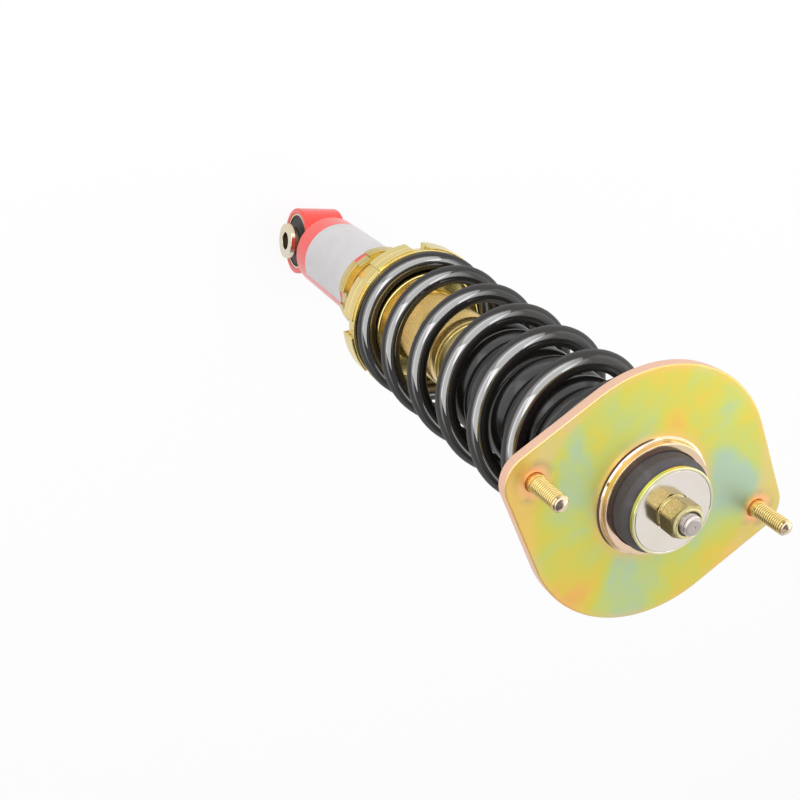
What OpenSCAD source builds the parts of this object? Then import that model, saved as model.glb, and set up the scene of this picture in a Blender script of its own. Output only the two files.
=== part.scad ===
// Height-adjustable coilover: threaded damper in a lower socket with a rubber bushed eye,
// coil spring between a castellated perch and a rubber-isolated upper seat, two-stud top mount.
// Millimetres. Origin at the centre of the lower eye, +Z up the strut, X parallel to the line
// through the two studs.

/* [Top plate and studs] */
// radius of the round middle of the top plate
plate_r = 63.25; // [60:0.25:75]
// radius of the two ears that carry the studs
ear_r = 14.5; // [11:0.5:20]
// distance between the two studs
stud_pitch = 130; // [125:1:150]
// thickness of the top plate
plate_t = 6; // [4:0.5:10]
// thread diameter of the studs
stud_thread_d = 8; // [6:0.5:10]
// height of a stud above the plate
stud_height = 22.7; // [18:0.1:40]
// height of a stud's pilot point
stud_point_h = 2.6; // [1.5:0.1:4]
// diameter of the knurled shank pressed into the plate
stud_shank_d = 8.8; // [8.4:0.1:12]
// diameter of the pressed-in stud head
stud_head_d = 14.2; // [12:0.2:20]
// thickness of the stud head
stud_head_t = 3; // [2:0.25:5]

/* [Rubber top bush] */
// outer radius of the housing that holds the bush
housing_r = 27.7; // [27:0.1:29]
// height of the housing's rim above the plate
housing_rim = 4.2; // [1:0.1:6]
// width of the flared foot that is pressed into the plate
housing_fillet = 1.6; // [0.4:0.1:2.2]
// wall of the housing round the upper bush
housing_wall = 2.3; // [1.5:0.1:3]
// thickness of the shelf between the two bushes
shelf_t = 3; // [2:0.25:5]
// depth of the shelf below the top of the plate
shelf_drop = 4; // [2:0.5:6]
// height of the upper bush's straight side above the plate
bush_side_h = 7.2; // [5:0.1:9]
// height of the upper bush above the plate
bush_h = 12.9; // [11:0.1:18]
// height of the lower bush under the shelf
lower_bush_h = 12.3; // [9:0.2:16]
// inset of the lower bush from the radius of the upper one
lower_bush_inset = 4.8; // [3:0.2:6]
// height of the lower bush left in view under the housing
lower_bush_bare = 1.6; // [1:0.1:4]
// gap between the sleeve and the shelf
shelf_clear = 4; // [2:0.25:6]
// radius of the washers on both bushes
washer_r = 21.3; // [20:0.1:23]
// thickness of the washers
washer_t = 2.7; // [1.5:0.1:4]

/* [Rod] */
// diameter of the piston rod
rod_d = 12.5; // [12:0.1:16]
// diameter of the threaded stem at both ends of the rod
stem_d = 10; // [9:0.5:11]
// thickness of the thin spacer under the top nut
spacer_h = 1; // [0.6:0.1:3]
// radius of the thin spacer
spacer_r = 8.2; // [7:0.1:11]
// width across the flats of the top nut
nut_flats = 16; // [15:0.5:19]
// height of the top nut
nut_h = 10.4; // [8:0.1:12]
// length of stem that stands above the top nut
stem_tip = 3.3; // [1:0.1:8]
// outer radius of the steel sleeve in the bushes
sleeve_r = 8; // [7.6:0.1:9.5]
// rod in view between the gland and the lower washer, with the damper drawn out
exposed_rod = 136; // [125:1:170]
// rod between the gland and the bump stop when the damper is drawn out
stroke = 75; // [50:1:80]
// gap between the dust boot's crests and the spring
boot_gap = 2.8; // [2:0.1:4]
// depth of the dust boot's folds
boot_fold = 5; // [3:0.5:5]
// number of folds in the dust boot
boot_ribs = 9; // [6:1:12]

/* [Upper spring seat] */
// outer radius of the upper seat's teeth
seat_r = 50.75; // [49:0.25:54]
// number of teeth round the upper seat
seat_teeth = 8; // [4:1:12]
// depth of the notches in the upper seat
seat_notch_depth = 4.2; // [2:0.2:6]
// width of a notch of the upper seat in degrees
seat_notch_angle = 12; // [6:0.5:20]
// thickness of the upper seat
seat_t = 10; // [7:0.5:14]
// outer radius of the rubber isolator
isolator_r = 47; // [46.5:0.25:50]
// thickness of the rubber isolator
isolator_t = 8; // [4:0.5:12]
// length of the upper seat's hub inside the spring
seat_hub_h = 12; // [9:0.5:18]

/* [Spring] */
// diameter of the spring's wire
wire_d = 10.84; // [8:0.02:11.2]
// mean radius of the spring
spring_r = 40.24; // [40:0.02:42]
// turns of wire from tip to tip
spring_turns = 7.17; // [6:0.01:8]
// turns at each end that lie flat on their seat
closed_turns = 0.55; // [0.4:0.01:0.56]
// turns over which the wire rises from flat to full pitch
rise_turns = 0.25; // [0.1:0.01:0.26]
// direction of the lower wire tip, in degrees from the X axis
tip_angle = -73; // [-180:1:180]

/* [Perch and lock rings] */
// outer radius of the spring perch and of its lock ring
perch_r = 46.2; // [45.8:0.1:50]
// thickness of the perch's flange
perch_t = 8; // [6:0.1:12]
// height of the plain rim above the perch's notches
perch_rim_h = 1.5; // [1:0.1:3]
// inset of the plain rim from the perch's edge
perch_rim_inset = 1.2; // [0.4:0.1:2]
// length of the perch's hub inside the spring
perch_hub_h = 11; // [6:0.5:20]
// thickness of the lock ring under the perch
lock_t = 7; // [5:0.1:10]
// number of spanner notches in the perch and its lock ring
notch_count = 8; // [4:1:10]
// width of a spanner notch
notch_w = 10.5; // [6:0.1:13]
// depth of a spanner notch
notch_depth = 4.2; // [2:0.1:6]
// direction of the first spanner notch, in degrees from the X axis
notch_angle = 17.5; // [0:0.5:45]
// distance from the socket's mouth up to the lock ring
perch_height = 49.3; // [39:0.1:53]
// outer radius of the socket's lock ring
small_ring_r = 29.5; // [28.5:0.1:32]
// thickness of the socket's lock ring
small_ring_t = 7.8; // [6:0.1:12]
// number of notches in the socket's lock ring
small_notch_count = 6; // [4:1:8]
// width of a notch in the socket's lock ring
small_notch_w = 8.6; // [5:0.1:10]
// direction of the first notch of the socket's lock ring, in degrees from the X axis
small_notch_angle = 19; // [0:0.5:60]
// depth of a notch in the socket's lock ring
small_notch_depth = 3; // [1.5:0.1:3.4]

/* [Damper body] */
// outside diameter of the threaded tube
tube_d = 47.1; // [46.5:0.1:48]
// bore of the threaded tube
bore_d = 38; // [36:0.5:40]
// length of the threaded tube
tube_len = 200; // [190:1:230]
// length of tube inside the socket
engagement = 68.2; // [57:0.2:73]
// thickness of the tube's floor
tube_floor = 8; // [5:0.5:12]
// height of the gland cap above the tube
gland_h = 14.5; // [10:0.5:20]
// length of the gland's spigot in the tube
gland_spigot = 4.5; // [3:0.5:8]
// outer radius of the foam bump stop
bump_r = 20; // [17:0.25:22]
// thickness of the rod seal
seal_t = 4; // [3:0.5:6]
// radius of the rebound stop
rebound_r = 12; // [10:0.25:15]
// height of the rebound stop
rebound_h = 8; // [5:0.5:12]
// length of the rod guide
guide_len = 13; // [9:0.5:18]
// thickness of the piston
piston_t = 16; // [12:0.5:20]
// diameter of the piston's ports
port_d = 4; // [2:0.25:5]
// height of the piston's guide band
band_h = 8; // [5:0.5:10]
// radius of the widest valve shim
shim_r = 11.5; // [9:0.25:14]
// height of the stack of valve shims
shims_t = 3; // [2:0.25:5]
// height of the nut under the piston
piston_nut_h = 8; // [5:0.5:10]
// height of the floating piston
gas_piston_t = 14; // [10:0.5:18]
// height of the gas chamber under the floating piston
gas_chamber = 15.5; // [13:0.5:25]

/* [Socket and eye] */
// outside diameter of the socket
socket_d = 51.2; // [50.5:0.1:53]
// length of the socket
socket_len = 92; // [89:0.5:107]
// distance from the eye's centre to the socket's lower edge
socket_base = 27.7; // [27:0.1:34]
// height of the chamfer at the socket's lower end
socket_chamfer_h = 6.7; // [3:0.1:10]
// inset of the chamfer at the socket's lower end
socket_chamfer_w = 3; // [1:0.1:3.4]
// wall of the socket's lower lip
socket_lip = 1.4; // [1:0.1:2]
// thickness of the socket's end cap
end_cap_t = 4; // [3:0.25:6]
// depth of the end cap inside the socket's lower lip
end_cap_recess = 2; // [1:0.25:4]
// distance from the socket's mouth to the label band
label_drop = 5.4; // [3:0.2:12]
// length of the label band
label_len = 66; // [40:0.2:68]
// thickness of the label band
label_t = 0.3; // [0.2:0.05:0.6]
// turn of the eye's bore from the line through the studs, in degrees
eye_turn = 11; // [0:1:90]
// outer radius of the eye's barrel
barrel_r = 24; // [23:0.25:26]
// length of the eye's barrel
barrel_len = 31; // [31:0.5:36]
// outer radius of the bush's steel shell
shell_r = 20; // [19:0.1:21.5]
// wall of the bush's steel shell
shell_wall = 1.2; // [0.8:0.1:1.8]
// rise of the rubber past the barrel's ends, next to the inner sleeve
eye_bush_lip = 1; // [0.4:0.1:1.6]
// outer radius of the inner sleeve
eye_sleeve_r = 12.7; // [11.5:0.1:14]
// length of the inner sleeve
eye_sleeve_len = 48; // [42:0.5:54]
// diameter of the bolt bore
eye_bore_d = 12.5; // [10:0.1:14]
// radius of the pad between the socket and the barrel
pad_r = 14.5; // [12:0.5:15]
// radius of the weld bead round the pad
weld_r = 2.2; // [1:0.1:2.6]

/* [Fits] */
// gap round pressed and screwed-in pieces
press_gap = 0.02; // [0.01:0.01:0.05]
// gap round pieces that turn or slide on each other
running_gap = 0.08; // [0.03:0.01:0.1]
// gap between pieces that must not touch
free_gap = 0.4; // [0.3:0.05:0.6]

/* [Output] */
// name of the sub-part to draw, or all

/* [Hidden] */
$fn = 96;

// heights up the strut
socket_top = socket_base + socket_len;
tube_base = socket_top - engagement;
tube_top = tube_base + tube_len;
gland_top = tube_top + gland_h;
washer_under = gland_top + exposed_rod;
lower_bush_base = washer_under + washer_t;
shelf_base = lower_bush_base + lower_bush_h;
plate_top = shelf_base + shelf_t + shelf_drop;
plate_base = plate_top - plate_t;
seat_base = plate_base - seat_t;
isolator_base = seat_base - isolator_t;
lock_base = socket_top + perch_height;
perch_base = lock_base + lock_t;
perch_top = perch_base + perch_t;
bush_top = plate_top + bush_h;
washer_top = bush_top + washer_t;
nut_base = washer_top + spacer_h;
nut_top = nut_base + nut_h;
stem_top = nut_top + stem_tip;

// radii that follow from the sizes above
tube_r = tube_d / 2;
bore_r = bore_d / 2;
rod_r = rod_d / 2;
stem_r = stem_d / 2;
socket_r = socket_d / 2;
bush_r = housing_r - housing_wall;
lower_bush_r = bush_r - lower_bush_inset;
shelf_r = sleeve_r + shelf_clear;
wire_r = wire_d / 2;
spring_inner_r = spring_r - wire_r;
hub_r = spring_inner_r - free_gap;
seat_bore_r = housing_r + free_gap;
housing_base = shelf_base - lower_bush_h + lower_bush_bare;
foot_r = housing_r + housing_fillet;
thread_bore_r = tube_r + running_gap;

// inner damper parts, from the top down
seal_base = tube_top - gland_spigot - seal_t;
guide_base = seal_base - guide_len;
piston_top = guide_base - rebound_h;
piston_base = piston_top - piston_t;
gas_piston_base = tube_base + tube_floor + gas_chamber;
bump_base = gland_top + stroke + free_gap;
boot_flange_t = 3;
boot_top = washer_under;
boot_base = gland_top - 4;
boot_wall = 1.4;

GOLD = [0.80, 0.70, 0.40];
STEEL = [0.75, 0.75, 0.76];
DARK_STEEL = [0.45, 0.45, 0.47];
RUBBER = [0.13, 0.12, 0.12];
RED = [0.85, 0.20, 0.17];
PLATED = [0.78, 0.78, 0.45];
BRONZE = [0.60, 0.45, 0.25];
WHITE_PLASTIC = [0.86, 0.86, 0.82];

// a turned piece from a profile of [radius, height] points
module turned(profile) {
  rotate_extrude() polygon(profile);
}

// a plain ring between two heights
module ring(r_out, r_in, z0, z1) {
  turned([[r_in, z0], [r_out, z0], [r_out, z1], [r_in, z1]]);
}

// a ring with a chamfer on each outer edge
module bevelled_ring(r_out, r_in, z0, z1, c) {
  turned([[r_in, z0], [r_out - c, z0], [r_out, z0 + c], [r_out, z1 - c], [r_out - c, z1], [r_in, z1]]);
}

// open-ended notches round the edge of a ring
module spanner_notches(count, r_floor, width, r_out, z0, z1, phase) {
  for (i = [0 : count - 1])
    rotate(phase + i * 360 / count)
      translate([r_floor, -width / 2, z0 - 1])
        cube([r_out - r_floor + 5, width, z1 - z0 + 2]);
}

// a hexagonal nut blank with chamfered corners
module hex_nut(flats, r_bore, z0, z1) {
  corner_r = flats / sqrt(3);
  chamfer = (corner_r - flats / 2) * 0.8;
  difference() {
    intersection() {
      translate([0, 0, z0]) cylinder(r = corner_r, h = z1 - z0, $fn = 6);
      turned([[0, z0], [corner_r - chamfer, z0], [corner_r + 0.1, z0 + chamfer],
        [corner_r + 0.1, z1 - chamfer], [corner_r - chamfer, z1], [0, z1]]);
    }
    translate([0, 0, z0 - 1]) cylinder(r = r_bore, h = z1 - z0 + 2);
  }
}

// the plate's outline: a disc with two ears joined by tangent lines
tangent_angle = acos((plate_r - ear_r) / (stud_pitch / 2));
tangent_inset = 0.06;

module ear_outline() {
  x = stud_pitch / 2;
  big = [(plate_r - tangent_inset) * cos(tangent_angle), (plate_r - tangent_inset) * sin(tangent_angle)];
  small = [(ear_r - tangent_inset) * cos(tangent_angle), (ear_r - tangent_inset) * sin(tangent_angle)];
  translate([x, 0]) circle(r = ear_r);
  polygon([[0, 0], [big[0], -big[1]], [x + small[0], -small[1]], [x + small[0], small[1]], big]);
}

module top_plate() {
  color(PLATED)
    translate([0, 0, plate_base])
      linear_extrude(plate_t)
        difference() {
          union() {
            circle(r = plate_r);
            ear_outline();
            rotate(180) ear_outline();
          }
          circle(r = foot_r + press_gap);
          for (side = [-1, 1])
            translate([side * stud_pitch / 2, 0]) circle(d = stud_shank_d + 2 * press_gap);
        }
}

module bush_housing() {
  rim_top = plate_top + housing_rim;
  shelf_top = shelf_base + shelf_t;
  color(PLATED)
    turned([[lower_bush_r + press_gap, housing_base], [housing_r, housing_base],
      [housing_r, plate_base], [foot_r, plate_base], [foot_r, plate_top],
      [foot_r - housing_fillet * 0.62, plate_top + housing_fillet * 0.29],
      [foot_r - housing_fillet * 0.91, plate_top + housing_fillet * 0.66],
      [housing_r, plate_top + housing_fillet], [housing_r, rim_top - 0.4],
      [housing_r - 0.4, rim_top], [bush_r + 0.5, rim_top],
      [bush_r + press_gap, rim_top - 0.5], [bush_r + press_gap, shelf_top],
      [shelf_r, shelf_top], [shelf_r, shelf_base], [lower_bush_r + press_gap, shelf_base]]);
}

module mount_studs() {
  thread_r = stud_thread_d / 2;
  shank_r = stud_shank_d / 2;
  head_r = stud_head_d / 2;
  tip = plate_top + stud_height;
  point_r = thread_r - 0.6;
  color(GOLD)
    for (side = [-1, 1])
      translate([side * stud_pitch / 2, 0, 0])
        turned([[0, plate_base - stud_head_t], [head_r - 0.8, plate_base - stud_head_t],
          [head_r, plate_base - stud_head_t + 0.8], [head_r, plate_base],
          [shank_r, plate_base], [shank_r, plate_top], [thread_r, plate_top],
          [thread_r, tip - stud_point_h], [point_r, tip - stud_point_h * 0.85],
          [point_r, tip - stud_point_h * 0.45], [thread_r * 0.6, tip], [0, tip]]);
}

module upper_bush() {
  color(RUBBER)
    turned([[sleeve_r + running_gap, shelf_base + shelf_t], [bush_r, shelf_base + shelf_t],
      [bush_r, plate_top + bush_side_h - 0.8], [bush_r - 0.5, plate_top + bush_side_h],
      [washer_r - 0.6, bush_top - 0.6], [washer_r - 1.4, bush_top],
      [sleeve_r + running_gap, bush_top]]);
}

module lower_bush() {
  color(RUBBER)
    turned([[sleeve_r + running_gap, lower_bush_base], [lower_bush_r - 2, lower_bush_base],
      [lower_bush_r, lower_bush_base + 2], [lower_bush_r, shelf_base],
      [sleeve_r + running_gap, shelf_base]]);
}

module stem_sleeve() {
  color(STEEL) ring(sleeve_r, stem_r + press_gap, lower_bush_base, bush_top);
}

module top_washer() {
  groove_r = washer_r - 1.3;
  color(STEEL)
    turned([[stem_r + press_gap, bush_top], [washer_r - 0.5, bush_top],
      [washer_r, bush_top + 0.5], [washer_r, washer_top - 0.5], [washer_r - 0.5, washer_top],
      [groove_r, washer_top], [groove_r - 0.3, washer_top - 0.4],
      [groove_r - 0.6, washer_top], [stem_r + press_gap, washer_top]]);
}

module bottom_washer() {
  color(STEEL)
    bevelled_ring(lower_bush_r - 2, stem_r + press_gap, washer_under, lower_bush_base, 0.5);
}

module stem_spacer() {
  color(GOLD) bevelled_ring(spacer_r, stem_r + press_gap, washer_top, nut_base, 0.4);
}

module top_nut() {
  color(GOLD) hex_nut(nut_flats, stem_r + press_gap, nut_base, nut_top);
}

module piston_rod() {
  lower_stem_end = piston_base - shims_t - piston_nut_h - 2;
  color(STEEL)
    turned([[0, lower_stem_end], [stem_r - 1, lower_stem_end], [stem_r, lower_stem_end + 1],
      [stem_r, piston_top], [rod_r, piston_top], [rod_r, washer_under],
      [stem_r, washer_under], [stem_r, stem_top - 1.6], [stem_r - 0.5, stem_top - 1.4],
      [stem_r - 0.5, stem_top - 0.6], [stem_r - 1.1, stem_top], [0, stem_top]]);
}

module upper_spring_seat() {
  hub_base = seat_base - seat_hub_h;
  tooth_angle = 360 / seat_teeth;
  color(RED)
    difference() {
      turned([[seat_bore_r, hub_base], [hub_r - 1, hub_base], [hub_r, hub_base + 1],
        [hub_r, seat_base], [seat_r - 0.6, seat_base], [seat_r, seat_base + 0.6],
        [seat_r, plate_base - 0.6], [seat_r - 0.6, plate_base], [seat_bore_r, plate_base]]);
      for (i = [0 : seat_teeth - 1])
        rotate((i + 0.5) * tooth_angle - seat_notch_angle / 2)
          translate([0, 0, seat_base - 1])
            rotate_extrude(angle = seat_notch_angle)
              translate([seat_r - seat_notch_depth, 0])
                square([seat_notch_depth + 3, seat_t + 2]);
    }
}

module spring_isolator() {
  color(RUBBER)
    turned([[hub_r + press_gap, isolator_base], [isolator_r - 1, isolator_base],
      [isolator_r, isolator_base + 1], [isolator_r, seat_base], [hub_r + press_gap, seat_base]]);
}

// path of the spring's wire: flat, rising and active stretches from the lower tip
wire_low = perch_top + wire_r;
wire_high = isolator_base - wire_r;
active_turns = spring_turns - 2 * closed_turns - rise_turns;
pitch = (wire_high - wire_low) / active_turns;

function risen(t) =
  t <= closed_turns ? 0 :
  t <= closed_turns + rise_turns ? pow(t - closed_turns, 2) / (2 * rise_turns) :
  t - closed_turns - rise_turns / 2;
function wire_z(t) =
  t <= spring_turns / 2 ? wire_low + pitch * risen(t) : wire_high - pitch * risen(spring_turns - t);
function wire_point(t) =
  let(a = tip_angle + 360 * t) [spring_r * cos(a), spring_r * sin(a), wire_z(t)];

// one tube along the wire's path
rings_per_turn = 24;
tube_sides = 6;
ring_total = round(spring_turns * rings_per_turn);

function wire_slope(t) =
  let(d = 0.002) (wire_z(min(t + d, spring_turns)) - wire_z(max(t - d, 0)))
    / ((min(t + d, spring_turns) - max(t - d, 0)) * 2 * PI * spring_r);
function tube_point(t, s) =
  let(a = tip_angle + 360 * t, b = 30 + 360 * s / tube_sides, lean = atan(wire_slope(t)),
    out = wire_r * cos(b), up = wire_r * sin(b))
  [spring_r * cos(a) + out * cos(a) + up * sin(lean) * sin(a),
    spring_r * sin(a) + out * sin(a) - up * sin(lean) * cos(a),
    wire_z(t) + up * cos(lean)];

tube_points = [for (i = [0 : ring_total]) for (s = [0 : tube_sides - 1])
  tube_point(i * spring_turns / ring_total, s)];
side_faces = [for (i = [0 : ring_total - 1]) for (s = [0 : tube_sides - 1])
  let(n = (s + 1) % tube_sides, a = i * tube_sides + s, b = i * tube_sides + n,
    c = (i + 1) * tube_sides + n, d = (i + 1) * tube_sides + s)
  each [[a, b, c], [a, c, d]]];
first_cap = [for (s = [1 : tube_sides - 2]) [0, s + 1, s]];
last_ring = ring_total * tube_sides;
last_cap = [for (s = [1 : tube_sides - 2]) [last_ring, last_ring + s, last_ring + s + 1]];

// least gap of the wire to itself, between points about one turn apart
gap_steps = 60;
turn_gaps = [for (i = [0 : ceil((spring_turns - 0.75) * gap_steps)])
  for (j = [round(0.75 * gap_steps) : round(1.25 * gap_steps)])
    let(t = i / gap_steps, u = min(t + j / gap_steps, spring_turns))
    if (u - t > 0.7) norm(wire_point(t) - wire_point(u)) - wire_d];

module coil_spring() {
  echo(least_gap_of_spring_to_itself_mm = min(turn_gaps));
  color(DARK_STEEL)
    polyhedron(points = tube_points, faces = concat(side_faces, first_cap, last_cap));
}

// waists and swells of the bump stop, as shares of its radius and its length
BUMP_STEPS = [[0.65, 0], [0.75, 0.05], [0.7, 0.22], [0.9, 0.34], [0.775, 0.5], [0.95, 0.64],
  [0.825, 0.8], [1, 0.94], [1, 1]];

module bump_stop() {
  top = boot_top - boot_flange_t;
  span = top - bump_base;
  color(WHITE_PLASTIC)
    turned(concat([[rod_r + running_gap, bump_base]],
      [for (step = BUMP_STEPS) [bump_r * step[0], bump_base + span * step[1]]],
      [[rod_r + running_gap, top]]));
}

// bellows of the boot: outer crests and roots, then back up the inside
boot_crest_r = spring_inner_r - boot_gap;
boot_root_r = boot_crest_r - boot_fold;
boot_neck_r = seat_bore_r - 1.1;
boot_neck = 8;
rib_pitch = (boot_top - boot_flange_t - boot_base - 2 * boot_neck) / boot_ribs;
boot_outside = [for (i = [0 : boot_ribs - 1]) each [
  [boot_root_r, boot_base + boot_neck + i * rib_pitch],
  [boot_crest_r, boot_base + boot_neck + (i + 0.5) * rib_pitch]]];
boot_inside = [for (i = [boot_ribs - 1 : -1 : 0]) each [
  [boot_crest_r - boot_wall, boot_base + boot_neck + (i + 0.5) * rib_pitch],
  [boot_root_r - boot_wall, boot_base + boot_neck + i * rib_pitch]]];

module dust_boot() {
  upper_neck = boot_top - boot_flange_t - boot_neck;
  color(RUBBER)
    turned(concat([[tube_r, boot_base], [tube_r + boot_wall, boot_base]], boot_outside,
      [[boot_root_r, upper_neck], [boot_neck_r, upper_neck + 3], [boot_neck_r, boot_top],
      [rod_r + running_gap, boot_top], [rod_r + running_gap, boot_top - boot_flange_t],
      [boot_neck_r - boot_wall, boot_top - boot_flange_t],
      [boot_neck_r - boot_wall, upper_neck + 3], [boot_root_r - boot_wall, upper_neck]],
      boot_inside));
}

module gland_cap() {
  cap_r = tube_r - 0.5;
  step_z = tube_top + 2;
  color(GOLD)
    turned([[rod_r + free_gap, tube_top - gland_spigot], [bore_r - press_gap, tube_top - gland_spigot],
      [bore_r - press_gap, tube_top], [cap_r, tube_top], [cap_r, step_z],
      [cap_r - 0.4, step_z + 0.3], [cap_r - 0.4, gland_top - 1.5], [cap_r - 1.9, gland_top],
      [rod_r + free_gap + 1, gland_top], [rod_r + free_gap, gland_top - 1]]);
}

module rod_guide() {
  color(BRONZE)
    bevelled_ring(bore_r - press_gap, rod_r + running_gap, guide_base, seal_base, 0.8);
}

module rod_seal() {
  color(RUBBER)
    ring(bore_r - press_gap, rod_r + running_gap, seal_base, tube_top - gland_spigot);
}

module rebound_stop() {
  color(WHITE_PLASTIC) bevelled_ring(rebound_r, rod_r + press_gap, piston_top, guide_base, 1);
}

// groove and band round the middle of the piston
piston_r = bore_r - free_gap;
band_floor = piston_r - 1.2;
band_low = (piston_top + piston_base - band_h) / 2;
band_high = band_low + band_h;

module piston() {
  color(BRONZE)
    difference() {
      turned([[stem_r + press_gap, piston_base], [piston_r - 0.8, piston_base],
        [piston_r, piston_base + 0.8], [piston_r, band_low], [band_floor, band_low],
        [band_floor, band_high], [piston_r, band_high], [piston_r, piston_top - 0.8],
        [piston_r - 0.8, piston_top], [stem_r + press_gap, piston_top]]);
      for (i = [0 : 5])
        rotate(i * 60)
          translate([(stem_r + band_floor) / 2 + 0.5, 0, piston_base - 1])
            cylinder(d = port_d, h = piston_t + 2);
    }
}

module piston_band() {
  color(WHITE_PLASTIC) ring(bore_r - running_gap, band_floor, band_low, band_high);
}

module valve_shims() {
  low = piston_base - shims_t;
  step = shims_t / 3;
  color(STEEL)
    turned([[stem_r + press_gap, low], [shim_r * 0.7, low], [shim_r * 0.7, low + step],
      [shim_r * 0.87, low + step], [shim_r * 0.87, low + 2 * step], [shim_r, low + 2 * step],
      [shim_r, piston_base], [stem_r + press_gap, piston_base]]);
}

module piston_nut() {
  nut_end = piston_base - shims_t;
  color(STEEL) hex_nut(nut_flats, stem_r + press_gap, nut_end - piston_nut_h, nut_end);
}

// seal groove round the middle of the floating piston
gas_seal_h = 3.2;
gas_seal_floor = piston_r - 2.4;
gas_seal_low = gas_piston_base + (gas_piston_t - gas_seal_h) / 2;
gas_seal_high = gas_seal_low + gas_seal_h;

module floating_piston() {
  top = gas_piston_base + gas_piston_t;
  hollow_r = piston_r - 4;
  hollow_top = gas_piston_base + 4;
  color(BRONZE)
    turned([[0, hollow_top], [hollow_r, hollow_top], [hollow_r, gas_piston_base],
      [piston_r - 0.6, gas_piston_base], [piston_r, gas_piston_base + 0.6],
      [piston_r, gas_seal_low], [gas_seal_floor, gas_seal_low], [gas_seal_floor, gas_seal_high],
      [piston_r, gas_seal_high], [piston_r, top - 0.6], [piston_r - 0.6, top], [0, top]]);
}

module floating_piston_ring() {
  color(RUBBER) ring(bore_r - running_gap, gas_seal_floor, gas_seal_low, gas_seal_high);
}

module damper_tube() {
  color(GOLD)
    turned([[0, tube_base], [tube_r - 2, tube_base], [tube_r, tube_base + 2],
      [tube_r, tube_top - 0.6], [tube_r - 0.6, tube_top], [bore_r, tube_top],
      [bore_r, tube_base + tube_floor], [0, tube_base + tube_floor]]);
}

module spring_perch() {
  rim_base = perch_top - perch_rim_h;
  color(GOLD)
    difference() {
      turned([[thread_bore_r, perch_base], [perch_r - 0.5, perch_base],
        [perch_r, perch_base + 0.5], [perch_r, rim_base], [perch_r - perch_rim_inset, rim_base],
        [perch_r - perch_rim_inset, perch_top - 0.4], [perch_r - perch_rim_inset - 0.4, perch_top],
        [hub_r, perch_top], [hub_r, perch_top + perch_hub_h - 1.2],
        [hub_r - 1.2, perch_top + perch_hub_h], [thread_bore_r, perch_top + perch_hub_h]]);
      spanner_notches(notch_count, perch_r - notch_depth, notch_w, perch_r,
        perch_base, rim_base - 1, notch_angle);
    }
}

module perch_lock_ring() {
  color(GOLD)
    difference() {
      bevelled_ring(perch_r, thread_bore_r, lock_base, perch_base, 0.6);
      spanner_notches(notch_count, perch_r - notch_depth, notch_w, perch_r,
        lock_base, perch_base, notch_angle);
    }
}

module socket_lock_ring() {
  ring_top = socket_top + small_ring_t;
  color(GOLD)
    difference() {
      bevelled_ring(small_ring_r, thread_bore_r, socket_top, ring_top, 0.6);
      spanner_notches(small_notch_count, small_ring_r - small_notch_depth, small_notch_w,
        small_ring_r, socket_top, ring_top, small_notch_angle);
    }
}

// bore of the socket's lower lip, where the end cap sits
lip_r = socket_r - socket_chamfer_w;
lip_bore_r = lip_r - socket_lip;
cap_base = socket_base + end_cap_recess;
cap_top = cap_base + end_cap_t;

module lower_socket() {
  color(RED)
    turned([[lip_bore_r, socket_base], [lip_r, socket_base],
      [socket_r, socket_base + socket_chamfer_h], [socket_r, socket_top - 0.6],
      [socket_r - 0.6, socket_top], [thread_bore_r, socket_top], [thread_bore_r, cap_top + 6],
      [lip_bore_r, cap_top + 3]]);
}

module socket_end_cap() {
  color(RED) translate([0, 0, cap_base]) cylinder(r = lip_bore_r - press_gap, h = end_cap_t);
}

module label_band() {
  top = socket_top - label_drop;
  color([0.85, 0.85, 0.85]) ring(socket_r + label_t, socket_r, top - label_len, top);
}

// pad and weld bead that join the socket's end to the barrel
module weld_pad() {
  color(RED)
    difference() {
      union() {
        cylinder(r = pad_r, h = cap_base);
        translate([0, 0, cap_base - weld_r])
          turned([[pad_r - 1, 0], [pad_r + weld_r * 0.4, 0], [pad_r + weld_r, weld_r],
            [pad_r - 1, weld_r]]);
      }
      rotate([0, 90, eye_turn]) cylinder(r = barrel_r, h = 4 * barrel_len, center = true);
    }
}

module eye_barrel() {
  color(RED)
    rotate([0, 90, eye_turn])
      bevelled_ring(barrel_r, shell_r + press_gap, -barrel_len / 2, barrel_len / 2, 0.8);
}

module bush_shell() {
  color(STEEL)
    rotate([0, 90, eye_turn])
      ring(shell_r, shell_r - shell_wall, -barrel_len / 2 + 0.5, barrel_len / 2 - 0.5);
}

module eye_bush() {
  r_out = shell_r - shell_wall - press_gap;
  r_in = eye_sleeve_r + running_gap;
  half = barrel_len / 2;
  lip = eye_bush_lip;
  color(RUBBER)
    rotate([0, 90, eye_turn])
      turned([[r_in, -half - lip], [r_in + 2 * lip, -half - 0.6 * lip], [r_out, -half + 1.6 * lip],
        [r_out, half - 1.6 * lip], [r_in + 2 * lip, half + 0.6 * lip], [r_in, half + lip]]);
}

module eye_sleeve() {
  half = eye_sleeve_len / 2;
  bore_r_eye = eye_bore_d / 2;
  color(STEEL)
    rotate([0, 90, eye_turn])
      turned([[bore_r_eye, -half + 0.6], [bore_r_eye + 0.6, -half], [eye_sleeve_r - 1.6, -half],
        [eye_sleeve_r, -half + 1.6], [eye_sleeve_r, half - 1.6], [eye_sleeve_r - 1.6, half],
        [bore_r_eye + 0.6, half], [bore_r_eye, half - 0.6]]);
}

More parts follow.
